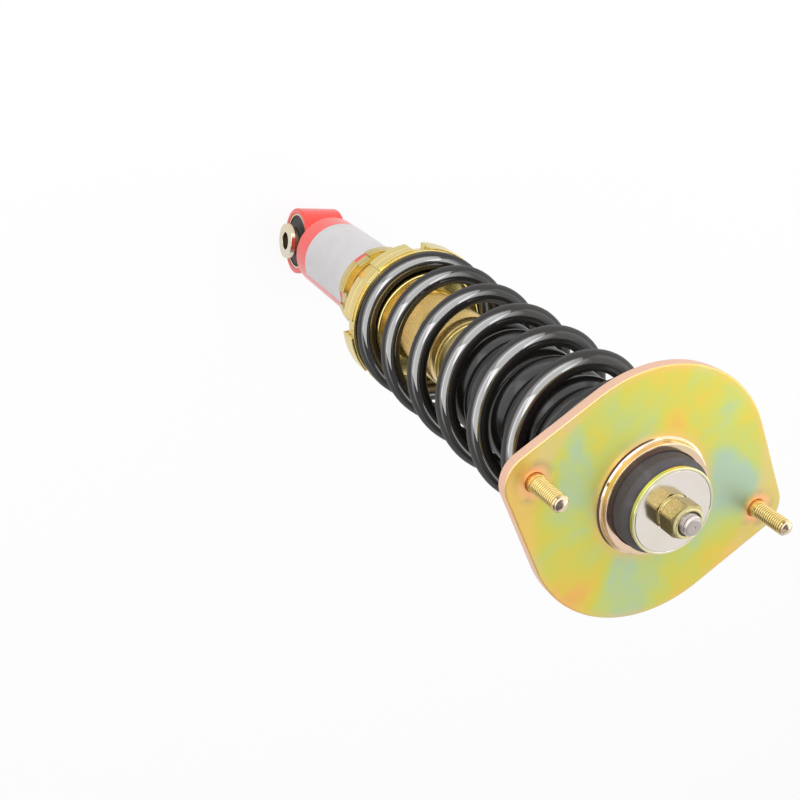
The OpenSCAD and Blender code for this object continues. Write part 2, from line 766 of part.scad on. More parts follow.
top_plate();
bush_housing();
mount_studs();
upper_bush();
lower_bush();
stem_sleeve();
top_washer();
bottom_washer();
stem_spacer();
top_nut();
piston_rod();
upper_spring_seat();
spring_isolator();
coil_spring();
bump_stop();
dust_boot();
gland_cap();
rod_guide();
rod_seal();
rebound_stop();
piston();
piston_band();
valve_shims();
piston_nut();
floating_piston();
floating_piston_ring();
damper_tube();
spring_perch();
perch_lock_ring();
socket_lock_ring();
lower_socket();
socket_end_cap();
label_band();
weld_pad();
eye_barrel();
bush_shell();
eye_bush();
eye_sleeve();
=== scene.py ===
import logging
import math
from dataclasses import dataclass
from enum import Enum
from typing import Any, Callable, NamedTuple, Optional, Sequence, Union

import bmesh
import bpy
from mathutils import Matrix, Vector


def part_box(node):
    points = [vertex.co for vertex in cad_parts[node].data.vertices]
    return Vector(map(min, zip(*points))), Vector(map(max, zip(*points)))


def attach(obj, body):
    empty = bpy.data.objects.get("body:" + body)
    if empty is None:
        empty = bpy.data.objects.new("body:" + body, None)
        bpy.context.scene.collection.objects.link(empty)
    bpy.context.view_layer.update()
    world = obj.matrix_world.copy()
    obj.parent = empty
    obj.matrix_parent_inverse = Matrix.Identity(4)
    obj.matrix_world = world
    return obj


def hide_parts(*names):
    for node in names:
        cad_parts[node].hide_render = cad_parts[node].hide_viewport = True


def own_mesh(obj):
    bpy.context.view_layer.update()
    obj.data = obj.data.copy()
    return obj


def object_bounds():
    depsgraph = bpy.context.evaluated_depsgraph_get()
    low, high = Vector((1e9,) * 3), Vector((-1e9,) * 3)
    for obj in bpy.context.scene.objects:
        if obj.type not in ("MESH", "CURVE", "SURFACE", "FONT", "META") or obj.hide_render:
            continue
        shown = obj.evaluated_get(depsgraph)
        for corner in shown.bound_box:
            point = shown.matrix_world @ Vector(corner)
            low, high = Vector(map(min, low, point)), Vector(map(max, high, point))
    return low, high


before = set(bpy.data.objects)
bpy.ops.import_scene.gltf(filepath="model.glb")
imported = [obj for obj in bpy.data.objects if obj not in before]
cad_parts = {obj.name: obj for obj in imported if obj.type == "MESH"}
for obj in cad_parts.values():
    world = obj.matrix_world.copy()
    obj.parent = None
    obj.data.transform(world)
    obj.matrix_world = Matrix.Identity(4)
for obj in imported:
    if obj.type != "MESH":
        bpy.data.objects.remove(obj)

MM = 0.001
TAU = 2 * math.pi
CAD_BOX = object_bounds()
EYE_TURN = math.radians(11.0)
STROKE = 75.0  # the range of damper_stroke in millimetres
SHARP = 38.0  # edges that turn by more degrees stay sharp in shading
WHITE = (1.0, 1.0, 1.0, 1.0)
log = logging.getLogger("coilover")

Point = tuple[float, float]
Corner = tuple[float, float, float]
Colour = tuple[float, float, float]
Relief = Callable[[float, float, float], float]
Value = Union["Wire", float, Sequence[float]]


class Body(Enum):
    """The moving bodies that pieces ride on."""

    TOP = "top_mount"
    ROD = "rod"
    DAMPER = "damper"
    PERCH = "perch"
    PERCH_LOCK = "perch_lock"
    SOCKET = "socket"
    SOCKET_LOCK = "socket_lock"
    EYE = "eye_inner"


class Axis(Enum):
    """The axis that a turned piece is turned about."""

    STRUT = "z"
    EYE = "x"


# ---------------------------------------------------------------- shader writing


class Wire:
    """One output socket, so that shader maths can be written as an expression."""

    def __init__(self, graph: "Graph", socket: bpy.types.NodeSocket) -> None:
        """Keeps the socket and the graph that it belongs to."""
        self.graph = graph
        self.socket = socket

    def math(self, operation: str, *values: Value, clamp: bool = False) -> "Wire":
        """Adds one Math node.

        Args:
            operation: the Math node's operation.
            values: its inputs in order, wires or numbers.
            clamp: holds the result between 0 and 1.

        Returns:
            The node's output.
        """
        made = self.graph.node(
            "ShaderNodeMath", {"operation": operation, "use_clamp": clamp}, dict(enumerate(values))
        )
        return self.graph.wire(made, 0)

    def __add__(self, other: Value) -> "Wire":
        """self + other."""
        return self.math("ADD", self, other)

    __radd__ = __add__

    def __mul__(self, other: Value) -> "Wire":
        """self * other."""
        return self.math("MULTIPLY", self, other)

    __rmul__ = __mul__

    def __sub__(self, other: Value) -> "Wire":
        """self - other."""
        return self.math("SUBTRACT", self, other)

    def __rsub__(self, other: Value) -> "Wire":
        """other - self."""
        return self.math("SUBTRACT", other, self)

    def __truediv__(self, other: Value) -> "Wire":
        """self / other."""
        return self.math("DIVIDE", self, other)

    def __pow__(self, other: Value) -> "Wire":
        """self ** other."""
        return self.math("POWER", self, other)

    def __abs__(self) -> "Wire":
        """The value without its sign."""
        return self.math("ABSOLUTE", self)

    def clamped(self) -> "Wire":
        """The value held between 0 and 1."""
        return self.math("ADD", self, 0.0, clamp=True)

    def near(self, place: float, width: float) -> "Wire":
        """1 where the value equals place, falling to 0 at width from it."""
        return (1 - abs(self - place) / width).clamped()

    def over(self, low: float, high: float) -> "Wire":
        """0 below low, 1 above high, and straight between them."""
        return ((self - low) / (high - low)).clamped()


class Graph:
    """The node tree of one material or of the world."""

    def __init__(self, name: str, world: Optional[bpy.types.World] = None) -> None:
        """Starts an empty tree under a new material of that name, or under the world."""
        self.owner = world or bpy.data.materials.new(name)
        self.owner.use_nodes = True
        self.tree = self.owner.node_tree
        self.tree.nodes.clear()

    def node(
        self,
        kind: str,
        settings: Optional[dict[str, Any]] = None,
        inputs: Optional[dict[Union[str, int], Value]] = None,
    ) -> bpy.types.Node:
        """Adds one node, settings first.

        Args:
            kind: the node's type name.
            settings: its properties; "stops" fills a ramp with (place, colour) pairs.
            inputs: values or wires by socket name or number.

        Returns:
            The node.
        """
        made = self.tree.nodes.new(kind)
        for key, value in (settings or {}).items():
            if key == "stops":
                self._fill_ramp(made.color_ramp, value)
            else:
                setattr(made, key, value)
        for key, value in (inputs or {}).items():
            if isinstance(value, Wire):
                self.tree.links.new(value.socket, made.inputs[key])
            else:
                made.inputs[key].default_value = value
        return made

    @staticmethod
    def _fill_ramp(ramp: bpy.types.ColorRamp, stops: Sequence[tuple[float, Colour]]) -> None:
        """Sets a ramp's stops."""
        while len(ramp.elements) < len(stops):
            ramp.elements.new(0.5)
        for element, (place, colour) in zip(ramp.elements, stops):
            element.position = place
            element.color = (*colour, 1.0)

    def wire(self, made: bpy.types.Node, output: Union[str, int] = 0) -> Wire:
        """Wraps a node's output."""
        return Wire(self, made.outputs[output])

    def place(self, output: str = "Object") -> Wire:
        """The point on the object, in metres, or another output of the coordinates."""
        return self.wire(self.node("ShaderNodeTexCoord"), output)

    def split(self, vector: Wire) -> tuple[Wire, Wire, Wire]:
        """A vector's three numbers."""
        parts = self.node("ShaderNodeSeparateXYZ", inputs={0: vector})
        return self.wire(parts, 0), self.wire(parts, 1), self.wire(parts, 2)

    def join(self, x: Value, y: Value, z: Value) -> Wire:
        """A vector from three numbers."""
        return self.wire(self.node("ShaderNodeCombineXYZ", inputs={0: x, 1: y, 2: z}))

    def scaled(self, vector: Wire, by: Sequence[float]) -> Wire:
        """A vector multiplied part by part."""
        made = self.node(
            "ShaderNodeVectorMath", {"operation": "MULTIPLY"}, {0: vector, 1: tuple(by)}
        )
        return self.wire(made)

    def noise(self, vector: Wire, scale: float, detail: float = 2.0, twist: float = 0.0) -> Wire:
        """Smooth noise between 0 and 1.

        Args:
            vector: where it is read.
            scale: waves per metre of the vector.
            detail: octaves.
            twist: distortion.

        Returns:
            The noise value.
        """
        made = self.node(
            "ShaderNodeTexNoise",
            inputs={"Vector": vector, "Scale": scale, "Detail": detail, "Distortion": twist},
        )
        return self.wire(made, 0)

    def ramp(self, value: Wire, *stops: tuple[float, Colour]) -> Wire:
        """A colour for each value, from (place, colour) stops."""
        return self.wire(self.node("ShaderNodeValToRGB", {"stops": stops}, {0: value}))

    def mix(self, share: Value, first: Value, second: Value, blend: str = "MIX") -> Wire:
        """Two colours mixed.

        Args:
            share: 0 for the first colour, 1 for the second.
            first: a wire or a colour.
            second: a wire or a colour.
            blend: the Mix node's blend type.

        Returns:
            The mixed colour.
        """
        first = first if isinstance(first, Wire) else (*first, 1.0)
        second = second if isinstance(second, Wire) else (*second, 1.0)
        made = self.node(
            "ShaderNodeMix",
            {"data_type": "RGBA", "blend_type": blend},
            {"Factor": share, 6: first, 7: second},
        )
        return self.wire(made, 2)

    def bump(self, height: Wire, depth: float, strength: float = 1.0) -> Wire:
        """A normal from a height of 0 to 1 that stands for depth metres."""
        made = self.node(
            "ShaderNodeBump", inputs={"Height": height, "Distance": depth, "Strength": strength}
        )
        return self.wire(made)

    def surface(self, **sockets: Value) -> bpy.types.Material:
        """Ends the tree in a Principled shader.

        Args:
            sockets: its sockets, with _ for the blanks in their names.

        Returns:
            The material.
        """
        named: dict[Union[str, int], Value] = {}
        for key, value in sockets.items():
            plain = isinstance(value, tuple) and len(value) == 3
            named[key.replace("_", " ")] = (*value, 1.0) if plain else value
        shader = self.node("ShaderNodeBsdfPrincipled", inputs=named)
        out = self.node("ShaderNodeOutputMaterial")
        self.tree.links.new(shader.outputs[0], out.inputs[0])
        return self.owner


def tint(red: float, green: float, blue: float) -> Colour:
    """A display colour as the linear light that shaders work in."""
    parts = (red, green, blue)
    return tuple(c / 12.92 if c <= 0.04045 else ((c + 0.055) / 1.055) ** 2.4 for c in parts)


# ---------------------------------------------------------------- finishes


@dataclass(frozen=True)
class Finish:
    """A surface finish; built once, then shared by the pieces that wear it."""

    name: str
    slot: str

    def build(self) -> bpy.types.Material:
        """Builds the material."""
        raise NotImplementedError

    def material(self) -> bpy.types.Material:
        """The finish's material, built at its first use."""
        return bpy.data.materials.get(self.name) or self.build()


def eye_plan(x: Any, y: Any) -> tuple[Any, Any]:
    """A place in plan, as numbers or wires, as its distances along and across the eye's axis."""
    c, s = math.cos(EYE_TURN), math.sin(EYE_TURN)
    return x * c + y * s, y * c - x * s


def turned_marks(g: Graph, axis: Axis, density: float) -> Wire:
    """Fine grooves round an axis, as a lathe leaves them.

    Args:
        g: the material's graph.
        axis: the axis they run round.
        density: grooves per metre.

    Returns:
        The groove height.
    """
    x, y, z = g.split(g.place())
    along, u, v = (z, x, y) if axis is Axis.STRUT else (*eye_plan(x, y), z)
    return g.noise(g.join((u * u + v * v) ** 0.5, along, 0.0), density, 3.0)


class Stain(NamedTuple):
    """A broad stain in the plating.

    Attributes:
        x: its place along the line of the studs, in millimetres.
        y: its place across that line.
        reach: its radius in millimetres.
        lift: how far it moves the colour along the ramp.
    """

    x: float
    y: float
    reach: float
    lift: float


# A stain with a positive lift is greener than the plate round it, one with a negative lift warmer.
STAINS = (
    Stain(48.0, 21.0, 30.0, 0.16),
    Stain(-45.0, 14.0, 26.0, 0.12),
    Stain(2.0, -35.0, 26.0, 0.1),
    Stain(1.0, 35.0, 26.0, -0.14),
    Stain(-21.0, -54.0, 26.0, -0.12),
    Stain(-52.0, 27.0, 16.0, -0.1),
    Stain(-27.0, 33.0, 24.0, 0.14),
    Stain(22.0, 46.0, 16.0, 0.06),
    Stain(67.0, 4.0, 14.0, -0.1),
    Stain(-16.0, 37.0, 16.0, 0.05),
    Stain(-45.0, -16.0, 16.0, 0.08),
)


@dataclass(frozen=True)
class ZincPlating(Finish):
    """Yellow chromate over zinc, with drifting rainbow colours and warm halos round the joints,
    painted shade round the studs and a painted highlight on the edges.
    """

    housing_r: float = 29.0
    stud_x: float = 65.0
    rim_r: float = 63.0
    stains: tuple[Stain, ...] = STAINS

    def build(self) -> bpy.types.Material:
        """Builds the material."""
        g = Graph(self.name)
        place = g.place()
        x, y, _ = g.split(place)
        radius = (x * x + y * y) ** 0.5 / MM
        stud_gap = ((abs(x) / MM - self.stud_x) ** 2.0 + y * y / MM ** 2) ** 0.5
        broad = g.noise(g.scaled(place, (1.0, 0.8, 1.0)), 30.0, 4.0, 0.62)
        fine = g.noise(g.scaled(place, (1.0, 0.85, 1.0)), 78.0, 4.0, 0.55)
        drift = broad * 0.72 + fine * 0.20 + 0.04
        for stain in self.stains:
            gap = ((x / MM - stain.x) ** 2.0 + (y / MM - stain.y) ** 2.0) ** 0.5
            drift = drift + (1 - gap / stain.reach).clamped() * stain.lift
        colour = g.ramp(
            drift,
            (0.28, tint(0.89, 0.69, 0.36)),
            (0.38, tint(0.86, 0.76, 0.32)),
            (0.47, tint(0.81, 0.78, 0.34)),
            (0.55, tint(0.76, 0.79, 0.43)),
            (0.63, tint(0.71, 0.78, 0.55)),
            (0.73, tint(0.67, 0.76, 0.66)),
        )
        halo = (1 - (radius - self.housing_r) / 7).clamped() ** 2.0
        stud_halo = (1 - (stud_gap - 5) / 5).clamped()
        # partly painted highlight: the warm blush near the rim is partly the plating's pink edge
        # and partly the soft highlight the rim catches
        edge = radius.over(self.rim_r - 4, self.rim_r)
        blush_and_edge_sheen = (halo * 0.5 + stud_halo * 0.7 + edge * fine * 0.7).clamped()
        colour = g.mix(blush_and_edge_sheen, colour, tint(0.96, 0.72, 0.52))
        # painted shade: a dark, broken ring round the base of each stud stands in for the stud's
        # shadow and reflection on the plate
        stud_shade_ring = stud_gap.near(8.6, 3.2) * fine.over(0.42, 0.62)
        colour = g.mix(stud_shade_ring * 0.4, colour, tint(0.52, 0.50, 0.40))
        # partly painted highlight: faces that turn sideways (the plate's sides and rounded edges)
        # get a paler pink that is partly plating tint and partly a painted highlight
        facing = g.split(g.wire(g.node("ShaderNodeNewGeometry"), "Normal"))[2]
        side = 1 - abs(facing).over(0.25, 0.95)
        colour = g.mix(side * 0.8, colour, tint(0.93, 0.75, 0.69))
        grain = g.noise(place, 2600.0, 3.0)
        dents = g.noise(place, 260.0, 2.0)
        return g.surface(
            Base_Color=colour,
            Metallic=0.7,
            Roughness=0.32 + fine * 0.14,
            Normal=g.bump(grain * 0.25 + dents * 0.75, 0.04 * MM, 0.5),
        )


@dataclass(frozen=True)
class PlatedMetal(Finish):
    """Turned and plated metal; the colour drifts a little and fine lathe marks run round it."""

    base: Colour = (0.8, 0.7, 0.4)
    drift: Colour = (0.8, 0.7, 0.4)
    roughness: float = 0.22
    marks: float = 0.012
    density: float = 2500.0
    speckle: float = 0.0
    axis: Axis = Axis.STRUT

    def build(self) -> bpy.types.Material:
        """Builds the material."""
        g = Graph(self.name)
        place = g.place()
        groove = turned_marks(g, self.axis, self.density)
        cloud = g.noise(place, 55.0, 3.0, 0.5)
        grain = g.noise(place, 2200.0, 2.0)
        colour = g.mix(cloud.over(0.35, 0.68), tint(*self.base), tint(*self.drift))
        colour = g.mix(grain.over(0.55, 0.75) * self.speckle, colour, tint(0.62, 0.60, 0.52))
        x, y, z = (part / MM for part in g.split(place))
        colour, dull = self.zoned(g, colour, x, y, z)
        return g.surface(
            Base_Color=colour,
            Metallic=1.0,
            Roughness=dull + self.roughness + cloud * 0.08 + grain * 0.05,
            Normal=g.bump(groove * 0.8 + grain * 0.2, self.marks * MM, 0.6),
        )

    def zoned(self, g: Graph, colour: Wire, x: Wire, y: Wire, z: Wire) -> tuple[Wire, Value]:
        """Changes the finish from zone to zone; here it stays the same all over.

        Args:
            g: the material's graph.
            colour: the finish's colour so far.
            x: the point's first coordinate in millimetres.
            y: the second.
            z: the third.

        Returns:
            The colour, and what is added to the roughness.
        """
        return colour, 0.0


@dataclass(frozen=True)
class StudPlating(PlatedMetal):
    """Plated studs, with painted shade in the thread roots and a silvery point."""

    stud_x: float = 65.0
    root_r: float = 3.35
    crest_r: float = 3.95
    point: float = 2.6

    def zoned(self, g: Graph, colour: Wire, x: Wire, y: Wire, z: Wire) -> tuple[Wire, Value]:
        """Paints shade into the thread's roots and pales the point; see PlatedMetal.zoned."""
        tip = extent("mount_studs")[1]
        gap = ((abs(x) - self.stud_x) ** 2.0 + y * y) ** 0.5
        point = z.over(tip - self.point, tip - self.point + 0.4)
        # painted shade: the thread's roots are darkened where shade falls between the crests
        root_shade = (1 - gap.over(self.root_r, self.crest_r)) * (1 - point)
        colour = g.mix(root_shade * 0.9, colour, tint(0.33, 0.27, 0.14))
        return g.mix(point * 0.6, colour, tint(0.90, 0.82, 0.79)), root_shade * 0.2


@dataclass(frozen=True)
class WasherPlating(PlatedMetal):
    """Pale plating that turns yellow-green at the rim, with painted shade along the pressed groove
    inside it.
    """

    rim_r: float = 21.3

    def zoned(self, g: Graph, colour: Wire, x: Wire, y: Wire, z: Wire) -> tuple[Wire, Value]:
        """Colours the rim and paints shade into the pressed groove; see PlatedMetal.zoned."""
        radius = (x * x + y * y) ** 0.5
        rim = radius.over(self.rim_r - 1.2, self.rim_r - 0.7)
        colour = g.mix(rim * 0.85, colour, tint(0.86, 0.84, 0.62))
        # painted shade: a dark line follows the pressed groove just inside the rim
        return g.mix(radius.near(self.rim_r - 1.4, 0.4) * 0.5, colour, tint(0.40, 0.38, 0.28)), 0.0


@dataclass(frozen=True)
class NutPlating(PlatedMetal):
    """Plated lock nut with mottled flats, and painted shade in the crown's groove round the stem.
    """

    # radius inside which the crown's sunken groove gets painted shade
    ring_r: float = 5.9
    shoulder: float = 1.6

    def zoned(self, g: Graph, colour: Wire, x: Wire, y: Wire, z: Wire) -> tuple[Wire, Value]:
        """Paints shade into the crown's groove and mottles the flats; see PlatedMetal.zoned."""
        radius = (x * x + y * y) ** 0.5
        # painted shade: the sunken groove between the stem and the crown is darkened
        inside = 1 - radius.over(self.ring_r, self.ring_r + 0.15)
        colour = g.mix(inside * 0.85, colour, tint(0.24, 0.22, 0.19))
        spots = g.noise(g.join(x, y, z), 1.6, 4.0, 0.7)
        shoulder = extent("top_nut")[1] - self.shoulder
        flat = 1 - z.over(shoulder, shoulder + 0.4)
        dark = g.mix(spots.over(0.40, 0.62), tint(0.50, 0.45, 0.28), tint(0.70, 0.63, 0.43))
        return g.mix(flat * 0.9, colour, dark), inside * 0.3 + flat * 0.12


@dataclass(frozen=True)
class RodChrome(PlatedMetal):
    """Hard chrome, with a dull steel stem whose thread roots carry painted shade."""

    root_r: float = 4.6
    crest_r: float = 4.95

    def zoned(self, g: Graph, colour: Wire, x: Wire, y: Wire, z: Wire) -> tuple[Wire, Value]:
        """Dulls the stem and paints shade into its thread roots; see PlatedMetal.zoned."""
        nut = extent("top_nut")
        tip = extent("piston_rod")[1]
        stem = z.over(nut[0] - 0.1, nut[0])
        radius = (x * x + y * y) ** 0.5
        root_shade = (1 - radius.over(self.root_r, self.crest_r)) * (1 - z.over(tip - 1.7, tip - 1.5))
        colour = g.mix(stem, colour, tint(0.76, 0.72, 0.70))
        rings = g.noise(g.join(radius, 0.0, 0.0), 1.8, 0.0).over(0.4, 0.6)
        rings = rings * z.over(tip - 1.2, tip - 1.1)
        # painted shade: the stem's thread roots are darkened where shade falls between the crests
        colour = g.mix(stem * root_shade * 0.75, colour, tint(0.36, 0.34, 0.31))
        return g.mix(stem * rings * 0.45, colour, tint(0.60, 0.56, 0.54)), stem * 0.24


@dataclass(frozen=True)
class Enamel(Finish):
    """Glossy sprayed or powder coat over metal, with a faint orange peel.

    The clear coat is full up to a facing of full_to, and weakens to edge_coat at thin_from.
    """

    base: Colour = (0.9, 0.2, 0.2)
    shade: Colour = (0.8, 0.15, 0.15)
    roughness: float = 0.28
    coat: float = 0.8
    coat_ior: float = 1.5
    edge_coat: float = 1.0
    peel: float = 0.03
    gloss: float = 0.5
    full_to: float = 0.13
    thin_from: float = 0.24

    def build(self) -> bpy.types.Material:
        """Builds the material."""
        g = Graph(self.name)
        place = g.place()
        peel = g.noise(place, 420.0, 2.0)
        cloud = g.noise(place, 30.0, 2.0)
        dust = g.noise(place, 5200.0, 2.0)
        colour = g.mix(cloud.over(0.3, 0.7), tint(*self.base), tint(*self.shade))
        facing = g.wire(g.node("ShaderNodeLayerWeight", inputs={"Blend": 0.5}), "Facing")
        turned_off = facing.over(self.full_to, self.thin_from)
        return g.surface(
            Base_Color=colour,
            Roughness=self.roughness + dust.over(0.6, 0.8) * 0.2,
            Specular_IOR_Level=self.gloss,
            Coat_Weight=self.coat * (1 - turned_off * (1 - self.edge_coat)),
            Coat_IOR=self.coat_ior,
            Coat_Roughness=0.03,
            Normal=g.bump(peel, self.peel * MM, 0.6),
        )


@dataclass(frozen=True)
class Anodised(Finish):
    """Dyed anodised aluminium with tool marks under the dye."""

    base: Colour = (0.85, 0.2, 0.25)
    shade: Colour = (0.7, 0.1, 0.15)

    def build(self) -> bpy.types.Material:
        """Builds the material."""
        g = Graph(self.name)
        groove = turned_marks(g, Axis.STRUT, 1800.0)
        cloud = g.noise(g.place(), 70.0, 2.0)
        colour = g.mix(cloud.over(0.35, 0.7), tint(*self.base), tint(*self.shade))
        return g.surface(
            Base_Color=colour,
            Metallic=0.85,
            Roughness=0.26 + cloud * 0.12,
            Normal=g.bump(groove, 0.015 * MM, 0.6),
        )


@dataclass(frozen=True)
class Rubber(Finish):
    """Moulded rubber with a dry, slightly dusty skin."""

    base: Colour = (0.2, 0.19, 0.19)
    dust: Colour = (0.34, 0.33, 0.33)
    roughness: float = 0.6
    grain: float = 0.03

    def build(self) -> bpy.types.Material:
        """Builds the material."""
        g = Graph(self.name)
        place = g.place()
        skin = g.noise(place, 1500.0, 4.0)
        bloom = g.noise(place, 90.0, 4.0, 0.6)
        colour = g.mix(bloom.over(0.45, 0.75), tint(*self.base), tint(*self.dust))
        return g.surface(
            Base_Color=colour,
            Roughness=self.roughness + bloom * 0.15,
            Normal=g.bump(skin, self.grain * MM, 0.7),
        )


@dataclass(frozen=True)
class Foam(Finish):
    """Cellular polyurethane with open pores, whose hollows carry painted shade."""

    base: Colour = (0.86, 0.82, 0.62)

    def build(self) -> bpy.types.Material:
        """Builds the material."""
        g = Graph(self.name)
        cells = g.wire(
            g.node("ShaderNodeTexVoronoi", inputs={"Vector": g.place(), "Scale": 1400.0}), 0
        )
        # painted shade: the pores' hollows are darker than the foam round them
        pore_shade = tuple(part * 0.55 for part in tint(*self.base))
        colour = g.mix(cells.over(0.1, 0.5), pore_shade, tint(*self.base))
        return g.surface(
            Base_Color=colour, Roughness=0.85, Normal=g.bump(cells, 0.2 * MM, 0.7)
        )


@dataclass(frozen=True)
class Nylon(Finish):
    """Moulded nylon or filled plastic."""

    base: Colour = (0.9, 0.9, 0.87)

    def build(self) -> bpy.types.Material:
        """Builds the material."""
        g = Graph(self.name)
        cloud = g.noise(g.place(), 200.0, 3.0)
        dim = tuple(part * 0.9 for part in tint(*self.base))
        return g.surface(
            Base_Color=g.mix(cloud, tint(*self.base), dim),
            Roughness=0.42 + cloud * 0.15,
            Normal=g.bump(cloud, 0.03 * MM, 0.5),
        )


@dataclass(frozen=True)
class Film(Finish):
    """Bare silver-grey label film, with a faint metallic flake and a few handling marks."""

    base: Colour = (0.84, 0.83, 0.83)

    def build(self) -> bpy.types.Material:
        """Builds the material."""
        g = Graph(self.name)
        place = g.place()
        flake = g.noise(place, 6000.0, 1.0)
        cloud = g.noise(place, 24.0, 3.0, 0.4)
        x, y, z = g.split(place)
        scuff = g.noise(g.join(x, y, z * 0.18), 900.0, 1.0).over(0.70, 0.74)
        colour = g.mix(cloud.over(0.3, 0.7), tint(*self.base), tint(0.79, 0.78, 0.79))
        colour = g.mix(scuff * 0.25, colour, tint(0.66, 0.65, 0.66))
        return g.surface(
            Base_Color=colour,
            Metallic=0.35,
            Roughness=0.34 + flake * 0.08 + scuff * 0.15,
            Normal=g.bump(flake, 0.01 * MM, 0.4),
        )


ZINC = ZincPlating("zinc_plating", "yellow_zinc")
HOUSING_ZINC = PlatedMetal(
    "housing_zinc", "yellow_zinc", (0.92, 0.78, 0.71), (0.86, 0.79, 0.62), 0.06, 0.002
)
GOLD = PlatedMetal(
    "gold_plating", "gold_plate", (0.85, 0.78, 0.50), (0.89, 0.80, 0.55), 0.10, 0.005
)
# painted shade: a darker copy of the gold plating, for the socket lock ring that sits in shade
# under the perch
SHADED_RING_GOLD = PlatedMetal(
    "ring_plating_shaded", "gold_plate", (0.74, 0.68, 0.42), (0.82, 0.73, 0.50), 0.14, 0.005
)
TUBE_GOLD = PlatedMetal(
    "tube_plating", "gold_plate", (0.90, 0.80, 0.52), (0.89, 0.75, 0.48), 0.09, 0.005
)
NUT_GOLD = NutPlating(
    "nut_plating", "gold_plate", (0.84, 0.80, 0.58), (0.90, 0.86, 0.68), 0.20, 0.006
)
OLIVE_GOLD = PlatedMetal(
    "olive_plating", "gold_plate", (0.76, 0.73, 0.50), (0.84, 0.80, 0.60), 0.16, 0.006
)
STUD_GOLD = StudPlating(
    "stud_plating", "gold_plate", (0.84, 0.76, 0.46), (0.88, 0.76, 0.54), 0.16, 0.004
)
WASHER_ZINC = WasherPlating(
    "washer_zinc", "bright_steel", (0.90, 0.87, 0.84), (0.88, 0.85, 0.80), 0.09, 0.004, 900.0, 0.2
)
PLAIN_ZINC = PlatedMetal("plain_zinc", "bright_steel", (0.88, 0.86, 0.79), (0.86, 0.85, 0.72), 0.25)
BARE_STEEL = PlatedMetal("bare_steel", "bright_steel", (0.80, 0.79, 0.77), (0.84, 0.82, 0.79), 0.20)
EYE_STEEL = PlatedMetal(
    "eye_steel", "bright_steel", (0.86, 0.83, 0.76), (0.88, 0.82, 0.68), 0.18, 0.006,
    axis=Axis.EYE,
)
CHROME = RodChrome("hard_chrome", "chrome", (0.85, 0.85, 0.86), (0.87, 0.87, 0.88), 0.06, 0.001)
BRONZE = PlatedMetal("sintered_bronze", "bronze", (0.70, 0.56, 0.36), (0.62, 0.48, 0.32), 0.34)
SPRING_ENAMEL = Enamel(
    "spring_enamel", "spring_black", (0.10, 0.082, 0.07), (0.075, 0.062, 0.052), 0.5, 1.0,
    coat_ior=3.1, edge_coat=0.13, peel=0.012, gloss=0.2,
)
RED_ENAMEL = Enamel(
    "red_powder_coat", "socket_red", (0.95, 0.27, 0.22), (0.92, 0.22, 0.18), 0.35, 0.5
)
RED_SEAT = Anodised("red_anodising", "seat_red", (0.86, 0.20, 0.22), (0.76, 0.14, 0.17))
RUBBER = Rubber("dry_rubber", "rubber", (0.27, 0.25, 0.26), (0.35, 0.33, 0.35), 0.62)
EYE_RUBBER = Rubber("eye_rubber", "rubber", (0.15, 0.14, 0.14), (0.24, 0.23, 0.23), 0.5)
BOOT_RUBBER = Rubber(
    "boot_rubber", "boot_black", (0.10, 0.09, 0.085), (0.14, 0.13, 0.12), 0.13, 0.006
)
FOAM = Foam("cellular_foam", "foam")
NYLON = Nylon("filled_nylon", "nylon")
FILM = Film("label_film", "label_silver")


# ---------------------------------------------------------------- mesh making


def rounded(corners: Sequence[Corner], steps: int = 4) -> list[Point]:
    """Rounds the corners of a closed outline.

    Args:
        corners: points with the radius of each corner, all in millimetres.
        steps: straight pieces in one rounded corner.

    Returns:
        The outline's points, with one more on each side of a rounded corner that keeps
        the faces beside it flat in shading.
    """
    out: list[Point] = []
    count = len(corners)
    for i, (x, y, radius) in enumerate(corners):
        here = Vector((x, y))
        back = Vector(corners[i - 1][:2]) - here
        ahead = Vector(corners[(i + 1) % count][:2]) - here
        if radius <= 0 or back.length < 1e-6 or ahead.length < 1e-6:
            out.append((x, y))
            continue
        turn = back.angle(ahead)
        if turn > math.radians(176):
            out.append((x, y))
            continue
        reach = min(radius / math.tan(turn / 2), 0.4 * back.length, 0.4 * ahead.length)
        radius = reach * math.tan(turn / 2)
        u, v = back.normalized(), ahead.normalized()
        centre = here + (u + v).normalized() * (radius / math.sin(turn / 2))
        first, last = here + u * reach - centre, here + v * reach - centre
        sweep = math.pi - turn
        side = 1 if first.x * last.y - first.y * last.x > 0 else -1
        start = math.atan2(first.y, first.x)
        keep = 0.15 * reach + 0.03
        if back.length > 2.4 * reach:
            out.append(tuple(here + u * (reach + keep)))
        for k in range(steps + 1):
            a = start + side * sweep * k / steps
            out.append((centre.x + radius * math.cos(a), centre.y + radius * math.sin(a)))
        if ahead.length > 2.4 * reach:
            out.append(tuple(here + v * (reach + keep)))
    return out


def placed(name: str, data: bpy.types.ID) -> bpy.types.Object:
    """Puts a mesh, lamp or camera in the scene as an object."""
    made = bpy.data.objects.new(name, data)
    bpy.context.scene.collection.objects.link(made)
    return made


def shaded(name: str, mesh: bpy.types.Mesh, work: bmesh.types.BMesh,
           sharp: float = SHARP) -> bpy.types.Object:
    """Turns the faces outwards, writes them to the mesh, smooths it and places it."""
    bmesh.ops.recalc_face_normals(work, faces=work.faces[:])
    work.to_mesh(mesh)
    work.free()
    mesh.shade_smooth()
    mesh.set_sharp_from_angle(angle=math.radians(sharp))
    return placed(name, mesh)


